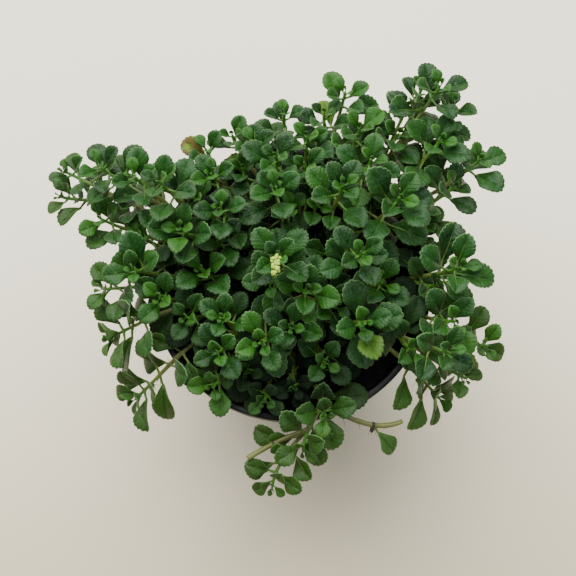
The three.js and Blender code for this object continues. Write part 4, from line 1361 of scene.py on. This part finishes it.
def rounded(profile, radius, steps=4):
    """The profile with each inner corner replaced by a quadratic arc of about that radius."""
    profile = np.asarray(profile, float)
    points = [profile[0]]
    for before, corner, after in zip(profile[:-2], profile[1:-1], profile[2:]):
        back, on = before - corner, after - corner
        size = min(radius, 0.45 * np.linalg.norm(back), 0.45 * np.linalg.norm(on))
        start, end = corner + size * unit(back), corner + size * unit(on)
        t = np.linspace(0, 1, steps)[:, None]
        points.extend(bent(start, corner, end, t))
    return np.vstack([points, profile[-1:]])


def pot_profile(settings):
    wall, drop = settings.wall / MM, settings.lip_drop / MM
    step, foot = settings.foot_step / MM, settings.foot_height / MM
    lip_from = POT_HEIGHT - drop
    neck = wall_radius(lip_from) - NECK_STEP
    inside = RIM_RADIUS - LIP_WIDTH
    return [
        [0, 1.2], [BASE_RADIUS - step - 6, 1.2], [BASE_RADIUS - step - 5, 0],
        [BASE_RADIUS - step, 0], [wall_radius(foot) - step, foot],
        [wall_radius(foot) - NECK_STEP, foot + 0.8], [neck, lip_from - 0.2],
        [RIM_RADIUS - 0.5, lip_from + 0.2], [RIM_RADIUS, POT_HEIGHT],
        [inside + 0.1, POT_HEIGHT], [neck - wall, lip_from],
        [BASE_RADIUS - NECK_STEP - wall, POT_FLOOR], [0, POT_FLOOR],
    ]


def put(piece, node):
    """The piece rides on the root body and stands for its solid, which is hidden."""
    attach(piece, "root")
    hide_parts(node)


class PILEA_OT_pot(Operator):
    """Build the pot: a rounded profile turned round the axis, with drain holes cut through"""

    bl_idname = "pilea.pot"
    bl_label = "Pot"

    def execute(self, context):
        settings = context.scene.pilea_pot
        form = Form()
        revolve(form, rounded(pot_profile(settings), 0.7), 160, 0)
        pot = form.build("nursery_pot", [pot_finish(settings)])
        cutter = Form()
        circle, radius = settings.drain_circle / MM, settings.drain_radius / MM
        for i in range(settings.drains):
            angle = TURN * i / settings.drains
            middle = np.array([circle * math.cos(angle), circle * math.sin(angle), 0])
            add_tube(cutter, middle + np.array([[0, 0, -2], [0, 0, 1.0], [0, 0, 4.0]]), radius, 32, 0)
        knives = cutter.build("drain_cutter", [])
        modifier = pot.modifiers.new("drains", "BOOLEAN")
        modifier.operation, modifier.object, modifier.solver = "DIFFERENCE", knives, "EXACT"
        context.view_layer.update()
        shape = pot.evaluated_get(context.evaluated_depsgraph_get())
        cut = bpy.data.meshes.new_from_object(shape)
        pot.modifiers.remove(modifier)
        pot.data = cut
        bpy.data.objects.remove(knives)
        put(pot, "pot")
        return {"FINISHED"}


def value_noise(x, y, scale, seed):
    """Smooth noise: random numbers on a square lattice, blended by a smooth step between."""
    table = np.random.RandomState(seed).rand(64, 64)
    u, v = x / scale, y / scale
    i, j = np.floor(u).astype(int), np.floor(v).astype(int)
    fu, fv = u - i, v - j
    fu, fv = fu * fu * (3 - 2 * fu), fv * fv * (3 - 2 * fv)
    a, b = table[i % 64, j % 64], table[(i + 1) % 64, j % 64]
    c, e = table[i % 64, (j + 1) % 64], table[(i + 1) % 64, (j + 1) % 64]
    return (a * (1 - fu) + b * fu) * (1 - fv) + (c * (1 - fu) + e * fu) * fv - 0.5


def soil_height(x, y, relief):
    """Top of the soil: three sizes of smooth noise, finest lowest, added to the fill height."""
    lumps = value_noise(x, y, 9, 1) + 0.7 * value_noise(x, y, 3.4, 2)
    return SOIL_TOP + relief * 1.3 * (lumps + 0.5 * value_noise(x, y, 1.3, 3))


class PILEA_OT_soil(Operator):
    """Build the soil: a lumpy disc in the pot, with crumbs and pale fibres on it"""

    bl_idname = "pilea.soil"
    bl_label = "Soil"

    def execute(self, context):
        settings = context.scene.pilea_soil
        relief = settings.relief / MM
        wide = wall_radius(POT_HEIGHT - LIP_DROP) - NECK_STEP - POT_WALL - SOIL_GAP
        narrow = BASE_RADIUS - NECK_STEP - POT_WALL - SOIL_GAP
        low = POT_FLOOR + SOIL_GAP
        form = Form()
        rings = np.concatenate([np.linspace(wide, 2, 66), [1.0]])
        profile = [[0, low], [narrow, low], [wide, SOIL_TOP - 2]]
        profile += [[radius, SOIL_TOP] for radius in rings] + [[0, SOIL_TOP]]
        verts = revolve(form, profile, 200, 0, {"tone": 0.0})
        top = verts[:, 2] == SOIL_TOP
        verts[top, 2] = soil_height(verts[top, 0], verts[top, 1], relief)
        form.verts[-1] = verts
        draw = np.random.RandomState(7)
        for _ in range(settings.crumbs):
            reach, angle = (wide - 2.5) * math.sqrt(draw.rand()), TURN * draw.rand()
            size = 0.5 + 1.3 * draw.rand() ** 3
            self.add_crumb(form, reach * math.cos(angle), reach * math.sin(angle), size, relief, draw)
        for _ in range(settings.fibres):
            self.add_fibre(form, wide, relief, draw)
        soil = form.build("soil_surface", [soil_finish(settings), fibre_finish(settings)])
        put(soil, "soil")
        return {"FINISHED"}

    @staticmethod
    def add_crumb(form, x, y, size, relief, draw):
        """A lump: a short rod whose radius follows a half circle, squashed and uneven."""
        lean = draw.rand(3) - 0.5
        axis = unit(np.array([1, 0.2, 0]) + lean)
        t = np.linspace(-0.95, 0.95, 5)
        height = float(soil_height(np.array(x), np.array(y), relief))
        middle = np.array([x, y, height + 0.25 * size])
        points = middle + (t * size)[:, None] * axis
        radii = size * 0.8 * np.sqrt(1 - t * t)
        uneven = 0.75 + 0.5 * draw.rand(5, 7)
        add_tube(form, points, radii, 7, 0, {"tone": draw.rand()}, profile=uneven)

    @staticmethod
    def add_fibre(form, wide, relief, draw):
        """A pale fibre: a thin rod along a gently bent line that lies on the soil."""
        reach, angle, turn = (wide - 9) * math.sqrt(draw.rand()), TURN * draw.rand(), TURN * draw.rand()
        length, bend = 3 + 9 * draw.rand(), 0.5 * (draw.rand() - 0.5)
        t = np.linspace(-0.5, 0.5, 9)
        x = reach * math.cos(angle) + length * (t * math.cos(turn) - bend * t * t * math.sin(turn))
        y = reach * math.sin(angle) + length * (t * math.sin(turn) + bend * t * t * math.cos(turn))
        z = soil_height(x, y, relief) + 0.12
        radius = 0.07 + 0.10 * draw.rand()
        add_tube(form, np.stack([x, y, z], 1), radius, 5, 1, {"tone": draw.rand()})


# Aerial roots: the nodes from the tip that have them, and the length at the foot without any
ROOTLET_NODES = range(4, 11)
CUT_WITHOUT_ROOTS = 8
STEM_WITHOUT_ROOTS = 24

# Painted shade: leaves darken from this radius inwards and from this height downwards, over so many
# millimetres, for the shade under the canopy
DEEP_WITHIN = 62
DEEP_WITHIN_FADE = 10
DEEP_BELOW = 124
DEEP_BELOW_FADE = 14

# What marks an aerial root or a scar all over
ROOTLET_MARKS = {"tone": 0.5, "age": 1.0, "wilt": 0.0, "deep": 0.0, "edge": 1.0}

# Leaves that have turned colour: shoot, node from the tip, side, and how far they have turned
WILTED = {
    ("back_12", 3, 1): 0.55,
    ("back_1", 5, 0): 0.7,
    ("middle_22", 3, 0): 0.4,
    ("right_8", 2, 1): 0.6,
    ("back_10", 3, 1): 0.95,
}


class PILEA_OT_shoots(Operator):
    """Build every leafy stem: stem, petioles, blades and, on one of them, a spike of florets"""

    bl_idname = "pilea.shoots"
    bl_label = "Leafy stems"

    def execute(self, context):
        settings = context.scene.pilea_plant
        canopy = grow_leaves(grow_stems())
        fill_canopy(canopy)
        finishes = [leaf_upper_finish(settings), leaf_under_finish(settings),
                    stem_finish(settings), flower_finish(settings), rootlet_finish(settings)]
        forms = {}
        for stem in canopy.stems:
            form = forms.setdefault(stem.family, Form())
            add_stem(form, stem, 2, {"tone": chance(stem.number, 31), "wilt": 0.0, "deep": 0.0})
            if is_trailing(stem.row[1]):
                self.add_rootlets(form, stem, settings)
        for leaf in canopy.leaves:
            self.add_leaf(forms[canopy.stems[leaf.number].family], leaf, settings)
        for family, form in forms.items():
            name = SHOOTS[family][0]
            if name == "flowering":
                self.add_spike(form, canopy.stems[family])
            piece = form.build(f"foliage_{name}", finishes)
            put(piece, f"shoot_{name}")
        return {"FINISHED"}

    @staticmethod
    def add_leaf(form, leaf, settings):
        tone = 0.3 * chance(leaf.number, 31) + 0.7 * leaf.chance(32)
        # Painted shade: how far the leaf lies low inside the canopy, where the leaves above shade it
        within = np.clip((DEEP_WITHIN - math.hypot(*leaf.centre[:2])) / DEEP_WITHIN_FADE, 0, 1)
        deep = within * np.clip((DEEP_BELOW - leaf.centre[2]) / DEEP_BELOW_FADE, 0, 1)
        age = min(1.0, leaf.k / 5)
        wilt = WILTED.get((leaf.name, leaf.k, leaf.side), 0.0)
        marks = {"tone": tone, "age": age, "wilt": wilt, "deep": deep}
        add_blade(form, leaf, settings, (0, 1), marks)
        add_petiole(form, leaf, settings, 2, {**marks, "age": 0.35 * age, "edge": 0.5})

    @staticmethod
    def add_rootlets(form, stem, settings):
        """Aerial roots: thin curly rods that hang from the older nodes of a trailing stem.

        Each follows a straight line down and out plus a sine whose swing grows along it. A cut
        branch that has roots also has a dark ring and a drop-shaped scar at the first of them.
        """
        draw = np.random.RandomState(100 + stem.number)
        cut = stem.row[5].get("cut", False)
        for k in ROOTLET_NODES:
            if node_depth(k) > stem.total - (CUT_WITHOUT_ROOTS if cut else STEM_WITHOUT_ROOTS):
                break
            point, along = stem.at(node_depth(k))
            if cut and k == ROOTLET_NODES[0]:
                ring = point + np.outer([-0.9, -0.4, 0.3, 0.8], along)
                wide = STEM_RADIUS * np.array([0.9, 1.22, 1.25, 0.9])
                add_tube(form, ring, wide, 10, 4, ROOTLET_MARKS)
                drop = point + np.outer([0.2, 1.5, 2.7, 3.4], unit(np.array([-0.25, -1, -0.5])))
                add_tube(form, drop, np.array([0.8, 0.95, 0.8, 0.3]), 8, 4, ROOTLET_MARKS)
            for _ in range(settings.rootlets):
                way = unit(draw.randn(3) * [1, 1, 0.5] - UP * 0.6)
                t = np.linspace(0, 1, 9)[:, None]
                swing = np.cross(way, unit(draw.randn(3))) * np.sin(t * (4 + 5 * draw.rand()))
                points = point + t * (2.5 + 4 * draw.rand()) * way + 0.5 * t * swing
                add_tube(form, points, np.linspace(0.13, 0.05, 9), 5, 4, ROOTLET_MARKS)

    @staticmethod
    def add_spike(form, stem):
        """Florets: small round buds set round a stalk that rises a little and leans forward."""
        tip, _ = stem.at(0)
        share = np.linspace(0, 1, 9)
        points = tip + np.stack([0 * share, -8 * share, 0.8 + 2.5 * np.sqrt(share)], 1)
        marks = {"tone": 0.3, "age": 0.1, "wilt": 0.0, "deep": 0.0, "edge": 0.5}
        add_tube(form, np.vstack([tip, points]), 0.45, 7, 2, marks)
        draw = np.random.RandomState(11)
        for i in range(60):
            cluster = i % 6
            at = (cluster + 0.5) / 6
            middle = np.array([np.interp(at, share, points[:, c]) for c in range(3)])
            middle = middle + np.array([0.7 * (-1) ** cluster, 0, 0.3])
            size = 0.6 + 0.15 * draw.rand()
            out = unit(draw.randn(3) + UP * 0.5)
            t = np.linspace(-0.92, 0.92, 5)
            rod = middle + out * ((0.95 - 0.06 * cluster) + (t * size)[:, None])
            add_tube(form, rod, size * np.sqrt(1 - t * t), 7, 3, marks)


class PILEA_OT_stage(Operator):
    """Set the stage: a plain pale floor, soft light and the camera at the photo's angle"""

    bl_idname = "pilea.stage"
    bl_label = "Stage"

    def execute(self, context):
        settings = context.scene.pilea_stage
        self.add_floor(settings)
        self.add_light(settings)
        self.add_camera(settings)
        return {"FINISHED"}

    @staticmethod
    def add_floor(settings):
        half = 3.0
        mesh = bpy.data.meshes.new("floor")
        corners = [(-half, -half, 0), (half, -half, 0), (half, half, 0), (-half, half, 0)]
        mesh.from_pydata(corners, [], [(0, 1, 2, 3)])
        mesh.materials.append(floor_finish(settings))
        floor = add_object("floor", mesh)

    @staticmethod
    def add_light(settings):
        world = bpy.data.worlds.new("studio")
        world.use_nodes = True
        background = world.node_tree.nodes["Background"]
        background.inputs["Color"].default_value = (0.86, 0.94, 1.0, 1)
        background.inputs["Strength"].default_value = settings.sky
        bpy.context.scene.world = world
        lights = [
            ("key_light", (-0.25, 0.78, 1.22), 2.0, settings.key),
            ("fill_light", (0.7, -0.5, 0.9), 0.9, 0.05 * settings.key),
        ]
        for name, place, size, power in lights:
            data = bpy.data.lights.new(name, "AREA")
            data.shape, data.size, data.energy = "DISK", size, power
            light = add_object(name, data)
            light.location = place
            target = np.array([0, 0, 0.1]) - np.array(place)
            light.rotation_euler = Vector(target).to_track_quat("-Z", "Y").to_euler()

    @staticmethod
    def add_camera(settings):
        """The camera looks at the rim's middle from the front, a little to one side of it."""
        _, place = camera_place(settings.elevation, settings.distance / MM)
        camera = add_object("camera", bpy.data.cameras.new("camera"))
        camera.data.lens, camera.data.sensor_width = settings.lens, 36
        camera.location = place * MM
        camera.rotation_euler = (math.pi / 2 - settings.elevation, 0, 0)
        bpy.context.scene.camera = camera


class PILEA_PT_panel(Panel):
    """Sizes, colours and the steps that build the plant"""

    bl_label = "Potted creeping pilea"
    bl_idname = "PILEA_PT_panel"
    bl_space_type = "VIEW_3D"
    bl_region_type = "UI"
    bl_category = "Pilea"

    def draw(self, context):
        layout = self.layout
        for operator, group in zip(OPERATORS, GROUPS):
            layout.operator(operator.bl_idname)
            settings = getattr(context.scene, group)
            for key in settings.__annotations__:
                layout.prop(settings, key)


OPERATORS = (PILEA_OT_stage, PILEA_OT_pot, PILEA_OT_soil, PILEA_OT_shoots)
GROUPS = {
    "pilea_stage": StageSettings,
    "pilea_pot": PotSettings,
    "pilea_soil": SoilSettings,
    "pilea_plant": PlantSettings,
}
CLASSES = (*GROUPS.values(), *OPERATORS, PILEA_PT_panel)


def register():
    for cls in CLASSES:
        bpy.utils.register_class(cls)
    for name, group in GROUPS.items():
        setattr(bpy.types.Scene, name, PointerProperty(type=group))


def unregister():
    for name in GROUPS:
        delattr(bpy.types.Scene, name)
    for cls in reversed(CLASSES):
        bpy.utils.unregister_class(cls)


def main():
    register()
    bpy.ops.pilea.stage()
    bpy.ops.pilea.pot()
    bpy.ops.pilea.soil()
    bpy.ops.pilea.shoots()


if __name__ == "__main__":
    main()
